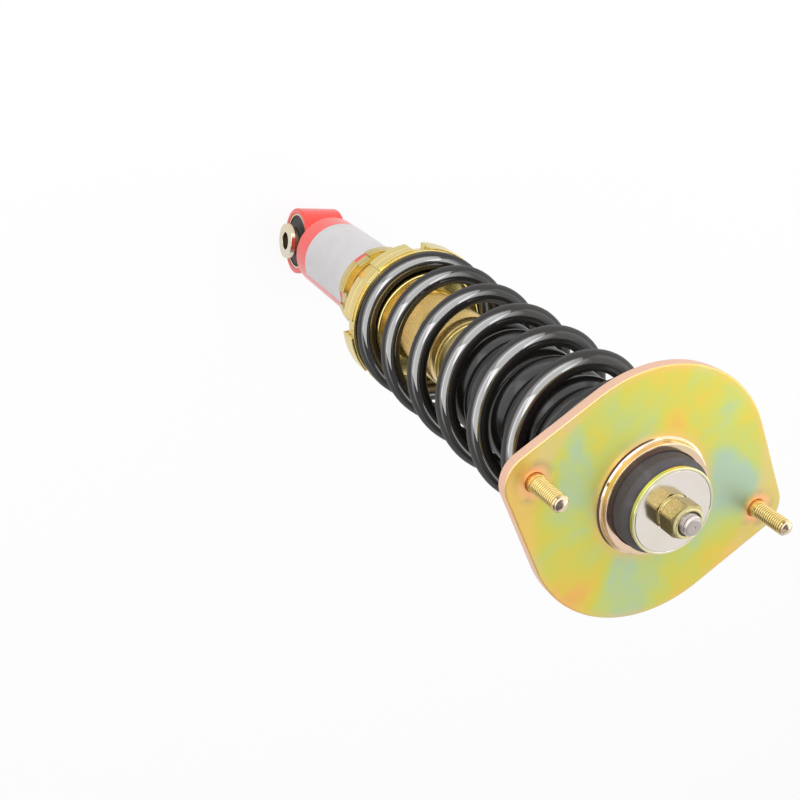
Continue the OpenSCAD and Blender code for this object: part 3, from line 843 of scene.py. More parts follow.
def as_object(name: str, points: Sequence[Sequence[float]], faces: Sequence[Sequence[int]],
              sharp: float = SHARP) -> bpy.types.Object:
    """Makes a mesh object.

    Args:
        name: the piece's name.
        points: corners in millimetres.
        faces: faces as corner numbers.
        sharp: edges that turn by more degrees than this stay sharp in shading.

    Returns:
        The object, smooth shaded and with its faces turned outwards.
    """
    mesh = bpy.data.meshes.new(name)
    mesh.from_pydata([tuple(c * MM for c in p) for p in points], [], faces)
    work = bmesh.new()
    work.from_mesh(mesh)
    return shaded(name, mesh, work, sharp)


def around(radius: float, angle: float) -> Point:
    """A point from its radius and its direction in radians."""
    return (radius * math.cos(angle), radius * math.sin(angle))


def _polar(radius: float, degrees: float) -> Point:
    """A point from its radius and its direction in degrees."""
    return around(radius, math.radians(degrees))


def banded(bands: int, sides: int, closed: bool = False) -> list[list[int]]:
    """Faces between rows of corners that are numbered row by row.

    Args:
        bands: how many bands of faces.
        sides: corners in a row.
        closed: whether the last band runs back to the first row.

    Returns:
        The faces as corner numbers.
    """
    faces: list[list[int]] = []
    for i in range(bands):
        here, there = i * sides, (i + 1) * sides
        if closed:
            there %= bands * sides
        for k in range(sides):
            n = (k + 1) % sides
            faces.append([here + k, here + n, there + n, there + k])
    return faces


def section(inner: float, outer: float, low: float, high: float, *ease: float) -> list[Corner]:
    """A ring's four corners, from the inner low one round to the inner high one."""
    return list(zip((inner, outer, outer, inner), (low, low, high, high), ease))


def turned(name: str, profile: Sequence[Point], axis: Axis = Axis.STRUT, sides: int = 128,
           relief: Optional[Relief] = None, centre: Point = (0.0, 0.0),
           sharp: float = SHARP) -> bpy.types.Object:
    """Turns a closed profile about an axis.

    Args:
        name: the piece's name.
        profile: (radius, place along the axis) points in millimetres.
        axis: the axis it turns about.
        sides: steps round the axis.
        relief: what is added to a radius, from the turn (0 to 1), radius and place.
        centre: where the axis stands, for pieces off the strut's own axis.
        sharp: edges that turn by more degrees than this stay sharp in shading.

    Returns:
        The object.
    """
    points: list[Corner] = []
    rows: list[list[int]] = []
    for radius, along in profile:
        if radius < 1e-4:
            rows.append([len(points)] * sides)
            points.append(_stood(0.0, 0.0, along, axis, centre))
            continue
        rows.append(list(range(len(points), len(points) + sides)))
        for k in range(sides):
            r = radius + (relief(k / sides, radius, along) if relief else 0.0)
            points.append(_stood(*around(r, TAU * k / sides), along, axis, centre))
    faces: list[list[int]] = []
    for i, row in enumerate(rows):
        after = rows[(i + 1) % len(rows)]
        for k in range(sides):
            n = (k + 1) % sides
            corners = list(dict.fromkeys((row[k], row[n], after[n], after[k])))
            if len(corners) > 2:
                faces.append(corners)
    return as_object(name, points, faces, sharp)


def _stood(u: float, v: float, along: float, axis: Axis, centre: Point) -> Corner:
    """A turned point in the strut's frame."""
    if axis is Axis.EYE:
        c, s = math.cos(EYE_TURN), math.sin(EYE_TURN)
        return (along * c - u * s, along * s + u * c, v)
    return (u + centre[0], v + centre[1], along)


def slab(name: str, outer: Sequence[Point], holes: Sequence[Sequence[Point]], low: float,
         high: float, edge: float) -> bpy.types.Object:
    """A flat piece cut to an outline, with rounded edges.

    Args:
        name: the piece's name.
        outer: its outline, anticlockwise, in millimetres.
        holes: outlines of its holes, clockwise.
        low: height of its underside.
        high: height of its top.
        edge: radius of its edges.

    Returns:
        The object.
    """
    steps = 4
    levels = [(edge * 1.25, low)]
    levels += [(edge * (1 - math.sin(t)), low + edge * (1 - math.cos(t)))
               for t in (math.pi / 2 * k / steps for k in range(steps + 1))]
    levels += [(edge * (1 - math.cos(t)), high - edge * (1 - math.sin(t)))
               for t in (math.pi / 2 * k / steps for k in range(steps + 1))]
    levels += [(edge * 1.25, high)]
    work = bmesh.new()
    lids: dict[int, list[bmesh.types.BMEdge]] = {0: [], len(levels) - 1: []}
    for outline in (outer, *holes):
        count = len(outline)
        inward = [_inward(outline, i) for i in range(count)]
        rings = [[work.verts.new(((x + dx * inset) * MM, (y + dy * inset) * MM, z * MM))
                  for (x, y), (dx, dy) in zip(outline, inward)] for inset, z in levels]
        for below, above in zip(rings, rings[1:]):
            for k in range(count):
                n = (k + 1) % count
                work.faces.new((below[k], below[n], above[n], above[k]))
        for level, edges in lids.items():
            ring = rings[level]
            edges += [work.edges.get((ring[k], ring[(k + 1) % count])) for k in range(count)]
    for edges in lids.values():
        bmesh.ops.triangle_fill(work, use_beauty=True, use_dissolve=False, edges=edges)
    return shaded(name, bpy.data.meshes.new(name), work)


def _inward(outline: Sequence[Point], i: int) -> Point:
    """How a corner moves for an inset of one millimetre into the material on its left."""
    here = Vector(outline[i])
    before = (here - Vector(outline[i - 1])).normalized()
    after = (Vector(outline[(i + 1) % len(outline)]) - here).normalized()
    left, right = Vector((-before.y, before.x)), Vector((-after.y, after.x))
    both = (left + right).normalized()
    return tuple(both / max(both.dot(left), 0.4))


def circle(radius: float, count: int, centre: Point = (0.0, 0.0),
           clockwise: bool = False) -> list[Point]:
    """A round outline."""
    way = -1 if clockwise else 1
    spots = (around(radius, way * TAU * k / count) for k in range(count))
    return [(centre[0] + x, centre[1] + y) for x, y in spots]


def tube(name: str, path: Sequence[Vector], radius: Callable[[float], float], sides: int,
         up: Vector) -> bpy.types.Object:
    """A round bar along a path, with domed ends.

    Args:
        name: the piece's name.
        path: the bar's middle line in millimetres.
        radius: the bar's radius for each share of the path from 0 to 1.
        sides: steps round the bar.
        up: a direction that the path never takes, which steadies the rings.

    Returns:
        The object.
    """
    points: list[Vector] = []
    last = len(path) - 1
    for i, here in enumerate(path):
        along = (path[min(i + 1, last)] - path[max(i - 1, 0)]).normalized()
        out = along.cross(up).normalized()
        over = out.cross(along)
        r = radius(i / last)
        for k in range(sides):
            u, v = around(r, TAU * k / sides)
            points.append(here + out * u + over * v)
    faces = banded(last, sides)
    faces.append(list(range(sides)))
    faces.append([last * sides + k for k in range(sides)])
    return as_object(name, points, faces)


def thread_relief(major: float, depth: float, pitch: float, low: float, high: float) -> Relief:
    """The helical groove of a screw thread.

    Args:
        major: the thread's outer radius, which marks the surface that it is cut in.
        depth: the groove's depth.
        pitch: rise in one turn.
        low: where the thread starts.
        high: where it ends.

    Returns:
        A relief for turned().
    """

    def cut(turn: float, radius: float, along: float) -> float:
        """The groove's depth at one point, as a negative number."""
        if abs(radius - major) > 0.01 or not low <= along <= high:
            return 0.0
        fade = min(1.0, (along - low) / pitch, (high - along) / pitch)
        phase = (along / pitch - turn) % 1.0
        groove = min(1.0, max(0.0, (abs(phase - 0.5) * 2 - 0.14) / 0.72))
        return -depth * fade * groove

    return cut


def fine_steps(radius: float, low: float, high: float, step: float) -> list[Point]:
    """Points close together up a straight side, for a thread."""
    count = max(2, round((high - low) / step))
    return [(radius, low + (high - low) * k / count) for k in range(count + 1)]


def joined(name: str, parts: Sequence[bpy.types.Object]) -> bpy.types.Object:
    """Joins meshes that lie in the strut's frame into one piece."""
    work = bmesh.new()
    for part in parts:
        work.from_mesh(part.data)
        bpy.data.objects.remove(part)
    mesh = bpy.data.meshes.new(name)
    work.to_mesh(mesh)
    work.free()
    return placed(name, mesh)


def extent(node: str) -> tuple[float, float]:
    """A CAD node's lowest and highest place up the strut, in millimetres."""
    low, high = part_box(node)
    return low.z / MM, high.z / MM


def fit(piece: bpy.types.Object, finish: Finish, body: Body, *nodes: str) -> bpy.types.Object:
    """Dresses a piece, sets it on its body and lets it stand for CAD nodes.

    Args:
        piece: the piece, in place.
        finish: what it wears.
        body: the body that it rides on.
        nodes: the CAD nodes that it replaces.

    Returns:
        The piece.
    """
    piece.data.materials.clear()
    piece.data.materials.append(finish.material())
    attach(piece, body.value)
    if nodes:
        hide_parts(*nodes)
    log.info("%s: %d faces on %s", piece.name, len(piece.data.polygons), body.value)
    return piece


def fit_ring(name: str, profile: Sequence[Corner], sides: int, finish: Finish, body: Body,
             node: str) -> None:
    """Turns a rounded profile about the strut's axis, and fits it."""
    fit(turned(name, rounded(profile), sides=sides), finish, body, node)


# ---------------------------------------------------------------- sub-assemblies


@dataclass
class TopMount:
    """The two-stud plate with its rubber bush, washer, spacer and nut."""

    plate_r: float = 63.25
    ear_r: float = 14.5
    stud_x: float = 65.0
    housing_r: float = 27.7
    bush_r: float = 25.4
    mouth_r: float = 23.7
    shoulder_r: float = 4.4
    thread_r: float = 4.0
    washer_r: float = 21.3
    stem_r: float = 5.0
    spacer_r: float = 8.2
    nut_flats: float = 16.0

    def build(self) -> None:
        """Builds and dresses the mount's pieces."""
        self.plate()
        self.housing()
        self.studs()
        self.bush()
        self.washer()
        self.spacer_and_nut()

    def outline(self) -> list[Point]:
        """The plate's outline: a disc and two ears joined by tangent lines."""
        turn = math.degrees(math.acos((self.plate_r - self.ear_r) / self.stud_x))
        points: list[Point] = []
        for middle, centre, radius, half in (
            (0.0, self.stud_x, self.ear_r, turn), (90.0, 0.0, self.plate_r, 90 - turn),
            (180.0, -self.stud_x, self.ear_r, turn), (270.0, 0.0, self.plate_r, 90 - turn),
        ):
            steps = max(12, round(half))
            for k in range(steps + 1):
                x, y = _polar(radius, middle - half + 2 * half * k / steps)
                points.append((centre + x, y))
        return points

    def plate(self) -> None:
        """The plate."""
        low, high = extent("top_plate")
        holes = [circle(self.housing_r - 0.3, 128, clockwise=True)]
        holes += [circle(self.shoulder_r, 32, (side * self.stud_x, 0.0), True) for side in (-1, 1)]
        fit(slab("mount_plate", self.outline(), holes, low, high, 0.9), ZINC, Body.TOP, "top_plate")

    def housing(self) -> None:
        """The ring that holds the bush, with its fillet, shelf and rounded rim."""
        top = extent("top_plate")[1]
        low, rim = extent("bush_housing")
        r = self.housing_r
        shelf = top - 4.0
        profile = [
            (20.62, low, 0.3), (r, low, 0.4), (r, top - 1.5, 0), (r + 1.6, top - 0.2, 0),
            (r + 1.6, top + 0.02, 0), (r + 0.55, top + 0.5, 0.6), (r, top + 1.5, 0.8),
            (r, rim - 0.2, 0.35), (r - 0.6, rim, 0.3), (self.mouth_r + 0.5, rim - 0.1, 0.3),
            (self.mouth_r, rim - 0.6, 0.3), (self.mouth_r, rim - 1.6, 0.3),
            (self.bush_r + 0.1, rim - 1.9, 0.3), (self.bush_r + 0.1, shelf, 0.3),
            (12.0, shelf, 0.3), (12.0, shelf - 3, 0.3), (20.62, shelf - 3, 0.5),
        ]
        fit_ring("housing_ring", profile, 160, HOUSING_ZINC, Body.TOP, "bush_housing")

    def studs(self) -> None:
        """Two pressed studs with a shoulder, a cut thread and a pilot point."""
        top = extent("top_plate")[1]
        head, tip = extent("mount_studs")
        thread_low, thread_high = top + 2.2, tip - 2.6
        profile = rounded([(0, head, 0), (7.1, head, 0.9), (7.1, head + 3, 0.2),
                           (self.shoulder_r, head + 3, 0.2), (self.shoulder_r, thread_low, 0.5),
                           (self.thread_r - 0.2, thread_low + 0.1, 0)])
        profile += fine_steps(self.thread_r, thread_low + 0.2, thread_high, 1.25 / 8)
        profile += rounded([(3.7, thread_high + 0.1, 0.1), (2.9, thread_high + 0.5, 0.2),
                            (2.9, thread_high + 0.8, 0.2), (3.3, thread_high + 1.0, 0.1),
                            (3.1, thread_high + 1.3, 0.3), (0.5, tip - 0.05, 0.4), (0, tip, 0)])
        cut = thread_relief(self.thread_r, 0.55, 1.25, thread_low + 0.2, thread_high)
        both = [turned("stud", profile, sides=64, relief=cut, centre=(x, 0.0), sharp=75.0)
                for x in (-self.stud_x, self.stud_x)]
        fit(joined("plate_studs", both), STUD_GOLD, Body.TOP, "mount_studs")

    def bush(self) -> None:
        """The moulded rubber above the plate."""
        low, high = extent("upper_bush")
        mouth = extent("bush_housing")[1] - 2.0
        neck = self.mouth_r - 0.1
        profile = [(8.1, low, 0), (self.bush_r, low, 0.3), (self.bush_r, mouth, 0.2),
                   (neck, mouth + 0.2, 0.1), (neck, high - 3.2, 1.4),
                   (self.washer_r + 0.3, high - 0.9, 0.8), (self.washer_r - 1.2, high, 0.3),
                   (8.1, high, 0.3)]
        fit_ring("top_rubber", profile, 144, RUBBER, Body.TOP, "upper_bush")

    def washer(self) -> None:
        """The domed-edge washer with its pressed ring near the rim."""
        low, high = extent("top_washer")
        r = self.washer_r
        profile = [(self.stem_r + 0.1, low, 0.2), (r, low, 0.7), (r, high, 0.7),
                   (r - 1.1, high, 0.15), (r - 1.35, high - 0.3, 0.15), (r - 1.6, high, 0.15),
                   (self.stem_r + 0.1, high, 0.2)]
        fit_ring("top_washer_disc", profile, 160, WASHER_ZINC, Body.ROD, "top_washer")

    def spacer_and_nut(self) -> None:
        """The round spacer and the hexagon nut on the stem."""
        low, high = extent("stem_spacer")
        profile = section(self.stem_r + 0.05, self.spacer_r, low, high, 0.3, 0.5, 0.5, 0.3)
        fit_ring("stem_collar", profile, 96, OLIVE_GOLD, Body.ROD, "stem_spacer")
        fit(self.lock_nut("stem_nut", *extent("top_nut")), NUT_GOLD, Body.ROD, "top_nut")

    def lock_nut(self, name: str, low: float, high: float) -> bpy.types.Object:
        """A hexagon lock nut: corners cut back by a cone, and a round crown over the locking ring.

        Args:
            name: the piece's name.
            low: height of its underside.
            high: height of the crown.

        Returns:
            The object.
        """
        sides, inner = 144, self.nut_flats / 2
        cone, slope, shoulder = inner * 0.955, 0.58, high - 1.5

        def flat(k: int) -> float:
            """The hexagon's radius towards one step round it, with eased corners."""
            a = math.radians((360 * k / sides) % 60 - 30)
            return inner / math.cos(a) - 0.35 * max(0.0, abs(math.degrees(a)) - 27.5) / 2.5

        def hexagon(share: float, drop: float, z: float) -> list[Point]:
            """A row that lies a share of the way from the cone's inner circle to the sides."""
            return [(cone + (flat(k) - cone) * share, z - (flat(k) - cone) * share * slope * drop)
                    for k in range(sides)]

        crown = [(self.stem_r + 0.08, high - 0.8), (5.7, high - 0.8), (5.85, high - 0.7),
                 (5.95, high - 0.3), (6.05, high - 0.1), (6.25, high), (7.0, high),
                 (7.2, high - 0.12), (7.3, high - 0.35), (7.35, shoulder + 0.25),
                 (7.45, shoulder + 0.05), (7.55, shoulder)]
        bottom = [(cone - 0.3, low), (self.stem_r + 0.7, low), (self.stem_r + 0.08, low + 0.65)]
        rows = [[row] * sides for row in crown]
        rows += [hexagon(0.0, 1, shoulder), hexagon(0.5, 1, shoulder), hexagon(1.0, 1, shoulder),
                 hexagon(1.0, 1, shoulder - 0.25), hexagon(1.0, 0, low + 0.3),
                 hexagon(1.0, 0, low + 0.12), hexagon(0.9, 0, low)]
        rows += [[row] * sides for row in bottom]
        points = [(*around(r, TAU * k / sides), z) for row in rows for k, (r, z) in enumerate(row)]
        return as_object(name, points, banded(len(rows), sides, closed=True), 24.0)


@dataclass
class UpperSeat:
    """The red toothed seat and the rubber ring that the spring sits on."""

    seat_r: float = 50.75
    floor_r: float = 46.55
    notch: float = 12.0
    teeth: int = 8
    bore_r: float = 28.1
    hub_r: float = 34.42
    isolator_r: float = 47.0

    def build(self) -> None:
        """Builds and dresses the seat and the isolator."""
        low, high = extent("upper_spring_seat")
        base = extent("spring_isolator")[1]
        teeth = slab("seat_teeth", self.outline(), [circle(self.bore_r, 128, clockwise=True)],
                     base, high, 0.5)
        profile = section(self.bore_r, self.hub_r, low, base + 1, 0.4, 1.0, 0, 0)
        hub = turned("seat_hub", rounded(profile))
        fit(joined("spring_seat_red", [teeth, hub]), RED_SEAT, Body.TOP, "upper_spring_seat")
        low, high = extent("spring_isolator")
        profile = section(self.hub_r + 0.02, self.isolator_r, low, high, 0.3, 1.6, 0.8, 0.3)
        fit_ring("isolator_ring", profile, 144, RUBBER, Body.TOP, "spring_isolator")

    def outline(self) -> list[Point]:
        """The toothed outline, with eased corners."""
        corners: list[Corner] = []
        step = 360 / self.teeth
        for i in range(self.teeth):
            middle = 22.5 + i * step
            first, last = middle + self.notch / 2, middle + step - self.notch / 2
            corners += [(*_polar(self.floor_r, first), 0.7), (*_polar(self.seat_r, first), 0.6)]
            count = 14
            corners += [(*_polar(self.seat_r, first + (last - first) * k / count), 0.0)
                        for k in range(1, count)]
            corners += [(*_polar(self.seat_r, last), 0.6), (*_polar(self.floor_r, last), 0.7)]
            corners += [(*_polar(self.floor_r, last + self.notch * k / 4), 0.0)
                        for k in range(1, 4)]
        return rounded(corners, 3)


@dataclass
class CoilSpring:
    """The wound spring: closed ends that lie flat, and an even pitch between them."""

    wire_r: float = 5.42
    mean_r: float = 40.24
    turns: float = 7.17
    closed: float = 0.55
    rise: float = 0.25
    tip_angle: float = -73.0
    rings: int = 72
    sides: int = 28

    def build(self) -> None:
        """Winds and dresses the spring."""
        self.low = extent("spring_perch")[1] - 11.0 + self.wire_r
        self.high = extent("spring_isolator")[0] - self.wire_r
        total = round(self.turns * self.rings)
        path = [self.point(self.turns * i / total) for i in range(total + 1)]
        piece = tube("wound_spring", path, self.wire_at, self.sides, Vector((0, 0, 1)))
        fit(piece, SPRING_ENAMEL, Body.TOP, "coil_spring")
        anchor = self.high + self.wire_r
        span = anchor - self.low + self.wire_r
        share = (span - STROKE) / span
        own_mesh(piece)

    def risen(self, turn: float) -> float:
        """Turns' worth of pitch climbed after so many turns from an end."""
        if turn <= self.closed:
            return 0.0
        if turn <= self.closed + self.rise:
            return (turn - self.closed) ** 2 / (2 * self.rise)
        return turn - self.closed - self.rise / 2

    def point(self, turn: float) -> Vector:
        """The wire's middle after so many turns from the lower tip."""
        pitch = (self.high - self.low) / (self.turns - 2 * self.closed - self.rise)
        if turn <= self.turns / 2:
            z = self.low + pitch * self.risen(turn)
        else:
            z = self.high - pitch * self.risen(self.turns - turn)
        a = math.radians(self.tip_angle) + TAU * turn
        return Vector((*around(self.mean_r, a), z))

    def wire_at(self, share: float) -> float:
        """The wire's radius, eased at the cut ends."""
        return self.wire_r - (0.5 if share in (0.0, 1.0) else 0.0)


@dataclass
class DustBoot:
    """The bellows round the rod, with soft crests and tight roots."""

    crest_r: float = 32.0
    root_r: float = 27.0
    ribs: int = 9
    neck: float = 8.0
    wall: float = 1.4
    tube_r: float = 23.55
    rod_r: float = 6.4
    steps: int = 16
    fade: float = 9.0

    def build(self) -> None:
        """Builds and dresses the boot."""
        low, top = extent("dust_boot")
        upper = top - 3.0 - self.neck
        pitch = (upper - low - self.neck) / self.ribs
        kept = 1 - STROKE / (top - low)
        clear = top - (top - extent("upper_spring_seat")[0] + 1) / kept
        outside: list[Point] = []
        for k in range(self.ribs * self.steps + 1):
            z = low + self.neck + pitch * k / self.steps
            swell = math.sin(math.pi * (k / self.steps % 1.0)) ** 0.9
            fade = min(1.0, max(0.12, (clear - z) / self.fade))
            outside.append((self.root_r + (self.crest_r - self.root_r) * swell * fade, z))
        inside = [(r - self.wall, z) for r, z in reversed(outside)]
        foot = self.tube_r + self.wall
        profile = [(self.tube_r, low), (foot - 0.3, low), (foot, low + 0.4), (foot, low + 4.5),
                   (foot - 0.5, low + 5.2), (foot - 0.5, low + 6.0)]
        profile += outside
        profile += [(self.root_r, top - 0.8), (self.root_r - 0.8, top), (self.rod_r, top),
                    (self.rod_r, top - 3), (self.root_r - self.wall, top - 3)]
        profile += inside + [(self.tube_r, low + self.neck - 1)]
        piece = turned("bellows", profile, sides=112)
        fit(piece, BOOT_RUBBER, Body.ROD, "dust_boot")
        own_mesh(piece)


@dataclass
class Damper:
    """The threaded tube and its gland cap."""

    tube_r: float = 23.55
    bore_r: float = 19.0
    pitch: float = 1.5
    depth: float = 0.28
    bare: float = 6.0

    def build(self) -> None:
        """Builds and dresses the tube and the gland cap."""
        low, top = extent("damper_tube")
        floor = low + 8
        start, end = extent("lower_socket")[1] - 14, top - self.bare
        profile = rounded([(0, low, 0), (self.tube_r, low, 2.0), (self.tube_r, start - 0.1, 0)])
        profile += fine_steps(self.tube_r, start, end, self.pitch / 6)
        profile += rounded([(self.tube_r, end + 0.1, 0), (self.tube_r, top, 0.6),
                            (self.bore_r, top, 0.4), (self.bore_r, floor, 1.5), (0, floor, 0)])
        cut = thread_relief(self.tube_r, self.depth, self.pitch, start, end)
        piece = turned("threaded_tube", profile, sides=96, relief=cut)
        fit(piece, TUBE_GOLD, Body.DAMPER, "damper_tube")
        low, high = extent("gland_cap")
        r = self.tube_r - 0.5
        profile = [(6.65, low, 0.3), (self.bore_r - 0.02, low, 0.3), (self.bore_r - 0.02, top, 0),
                   (r, top + 0.05, 0.3), (r, top + 2.0, 0.3), (r - 0.4, top + 2.4, 0.2),
                   (r - 0.4, high, 1.4), (12.0, high, 0.4), (11.0, high - 1.2, 0.5),
                   (7.8, high - 1.2, 0.3), (6.65, high - 1.8, 0)]
        fit_ring("gland_nut", profile, 128, GOLD, Body.DAMPER, "gland_cap")


@dataclass
class Collars:
    """The perch and the two lock rings, all cut for a hook spanner."""

    ring_r: float = 46.2
    notches: int = 8
    notch_w: float = 10.5
    notch_depth: float = 4.2
    notch_angle: float = 17.5
    bore_r: float = 23.63
    hub_r: float = 34.42
    small_r: float = 29.5
    small_notches: int = 6
    small_w: float = 8.6
    small_depth: float = 3.0
    small_angle: float = 19.0

    def build(self) -> None:
        """Builds and dresses the three rings."""
        self.perch()
        low, high = extent("perch_lock_ring")
        outline = self.large_outline()
        bore = circle(self.bore_r, 128, clockwise=True)
        fit(slab("perch_lock", outline, [bore], low, high - 0.02, 0.55), GOLD, Body.PERCH_LOCK,
            "perch_lock_ring")
        low, high = extent("socket_lock_ring")
        outline = self.outline(self.small_r, self.small_notches, self.small_w, self.small_depth,
                               self.small_angle)
        fit(slab("socket_lock", outline, [bore], low, high, 0.55), SHADED_RING_GOLD, Body.SOCKET_LOCK,
            "socket_lock_ring")

    def perch(self) -> None:
        """The perch: notched flange, plain rim and the hub inside the spring."""
        low, high = extent("spring_perch")
        shelf = high - 11.0
        outline = self.large_outline()
        seam = shelf - 1.5
        bore = circle(self.bore_r, 128, clockwise=True)
        flange = slab("flange", outline, [bore], low, seam, 0.45)
        rim_r = self.ring_r - 1.2
        rim = [(self.bore_r, seam - 1, 0), (self.ring_r - self.notch_depth - 0.6, seam - 1, 0),
               (rim_r, seam - 0.1, 0.1), (rim_r, shelf, 0.4), (self.hub_r, shelf, 0.6),
               (self.hub_r, high, 1.4), (self.bore_r, high, 0.6)]
        top = turned("rim", rounded(rim), sides=144)
        fit(joined("perch_flange", [flange, top]), GOLD, Body.PERCH, "spring_perch")

    def large_outline(self) -> list[Point]:
        """The outline that the perch's flange and its lock ring share."""
        return self.outline(self.ring_r, self.notches, self.notch_w, self.notch_depth,
                            self.notch_angle)

    @staticmethod
    def outline(radius: float, count: int, width: float, depth: float,
                phase: float) -> list[Point]:
        """A round outline with square notches.

        Args:
            radius: the ring's radius.
            count: how many notches.
            width: width of a notch.
            depth: depth of a notch.
            phase: direction of the first notch in degrees.

        Returns:
            The outline with eased corners.
        """
        half = width / 2
        reach = math.sqrt(radius * radius - half * half)
        spread = math.degrees(math.asin(half / radius))
        corners: list[Corner] = []
        for i in range(count):
            a = math.radians(phase + 360 * i / count)
            u, v = Vector((math.cos(a), math.sin(a))), Vector((-math.sin(a), math.cos(a)))
            for out, side, ease in ((reach, -half, 0.5), (radius - depth, -half, 0.7),
                                    (radius - depth, half, 0.7), (reach, half, 0.5)):
                corners.append((*(u * out + v * side), ease))
            first = phase + 360 * i / count + spread
            last = phase + 360 * (i + 1) / count - spread
            steps = max(8, round((last - first) / 2.2))
            corners += [(*_polar(radius, first + (last - first) * k / steps), 0.0)
                        for k in range(1, steps)]
        return rounded(corners, 3)


@dataclass
class LowerSocket:
    """The red socket with its bare label, end cap and weld."""

    socket_r: float = 25.6
    lip_r: float = 22.6
    bore_r: float = 23.63
    chamfer: float = 1.8
    pad_r: float = 14.5
    barrel_r: float = 24.0
    flare: float = 6.5
    film_gap: tuple[float, float] = (217.0, 259.0)

    def build(self) -> None:
        """Builds and dresses the socket's pieces."""
        low, top = extent("lower_socket")
        profile = [(self.lip_r - 1.4, low, 0.5), (self.socket_r - self.chamfer, low, 0.8),
                   (self.socket_r, low + self.chamfer, 1.2), (self.socket_r, top, 0.7),
                   (self.bore_r, top, 0.4), (self.bore_r, low + 12, 0),
                   (self.lip_r - 1.4, low + 9, 0)]
        fit_ring("red_socket", profile, 144, RED_ENAMEL, Body.SOCKET, "lower_socket")
        low, high = extent("socket_end_cap")
        profile = section(0, self.lip_r - 1.42, low, high, 0, 0.3, 0.3, 0)
        fit_ring("end_disc", profile, 96, RED_ENAMEL, Body.SOCKET, "socket_end_cap")
        low, high = extent("label_band")
        r = self.socket_r
        profile = section(r + 0.02, r + 0.3, low, high, 0, 0.1, 0.1, 0)

        def open_strip(turn: float, _radius: float, _along: float) -> float:
            """Sinks the film into the socket between its two ends, so that a red strip shows."""
            first, last = self.film_gap
            return -0.6 if first < 360 * turn < last else 0.0

        piece = turned("bare_label", rounded(profile, 2), sides=180, relief=open_strip)
        fit(piece, FILM, Body.SOCKET, "label_band")
        self.weld()

    def weld(self) -> None:
        """The flared pad between socket and barrel, with a rippled bead round its top."""
        top = extent("weld_pad")[1]
        sides, rows = 144, 10
        points: list[Corner] = []
        for i in range(rows + 1):
            r = self.pad_r + self.flare * (i / rows) ** 3
            for k in range(sides):
                x, y = around(r, TAU * k / sides)
                foot = math.sqrt(self.barrel_r ** 2 - eye_plan(x, y)[1] ** 2) - 0.3
                points.append((x, y, foot + (top - foot) * i / rows))
        faces = banded(rows, sides)
        faces += [list(range(sides)), list(range(rows * sides, (rows + 1) * sides))]
        pad = as_object("pad", points, faces)
        r, steps = self.pad_r + self.flare - 1.0, 240
        ring = [Vector((*around(r, TAU * k / steps), top - 0.9)) for k in range(steps + 1)]
        bead = tube("bead", ring, lambda s: 0.9 + 0.16 * abs(math.sin(s * TAU * 28)), 12,
                    Vector((0, 0, 1)))
        fit(joined("welded_pad", [pad, bead]), RED_ENAMEL, Body.SOCKET, "weld_pad")


@dataclass
class LowerEye:
    """The eye: barrel, bush shell, rubber and inner sleeve."""

    barrel_r: float = 24.0
    half: float = 15.5
    shell_r: float = 20.0
    shell_wall: float = 1.2
    sleeve_r: float = 12.7
    bore_r: float = 6.25
    sleeve_half: float = 24.0
    neck_r: float = 8.8
    flange: float = 4.2

    def build(self) -> None:
        """Builds and dresses the eye's pieces."""
        h, s = self.half, self.shell_r
        self._turn("red_barrel", RED_ENAMEL, Body.SOCKET, "eye_barrel",
                   section(s + 0.02, self.barrel_r, -h, h, 0.5, 1.2, 1.2, 0.5))
        w = s - self.shell_wall
        self._turn("shell_ring", EYE_STEEL, Body.SOCKET, "bush_shell",
                   section(w, s, 0.5 - h, h - 0.5, 0.3, 0.3, 0.3, 0.3))
        r = self.neck_r + 0.08
        self._turn("eye_rubber_ring", EYE_RUBBER, Body.SOCKET, "eye_bush",
                   [(r, -h - 1, 0.4), (r + 2, -h - 0.7, 0.6), (r + 3.6, 0.9 - h, 1.4),
                    (w - 0.02, 1.4 - h, 0.5), (w - 0.02, h - 1.4, 0.5),
                    (r + 3.6, h - 0.9, 1.4), (r + 2, h + 0.7, 0.6), (r, h + 1, 0.4)])
        b, e, f = self.bore_r, self.sleeve_half, self.flange
        self._turn("bolt_sleeve", EYE_STEEL, Body.EYE, "eye_sleeve",
                   [(b, -e, 0.6), (self.sleeve_r, -e, 0.7), (self.sleeve_r, f - e, 0.7),
                    (self.neck_r, f - e + 0.3, 0.5), (self.neck_r, e - f - 0.3, 0.5),
                    (self.sleeve_r, e - f, 0.7), (self.sleeve_r, e, 0.7), (b, e, 0.6)])

    @staticmethod
    def _turn(name: str, finish: Finish, body: Body, node: str, profile: Sequence[Corner]) -> None:
        """Turns, dresses and seats one ring of the eye."""
        fit(turned(name, rounded(profile, 5), Axis.EYE, 144), finish, body, node)


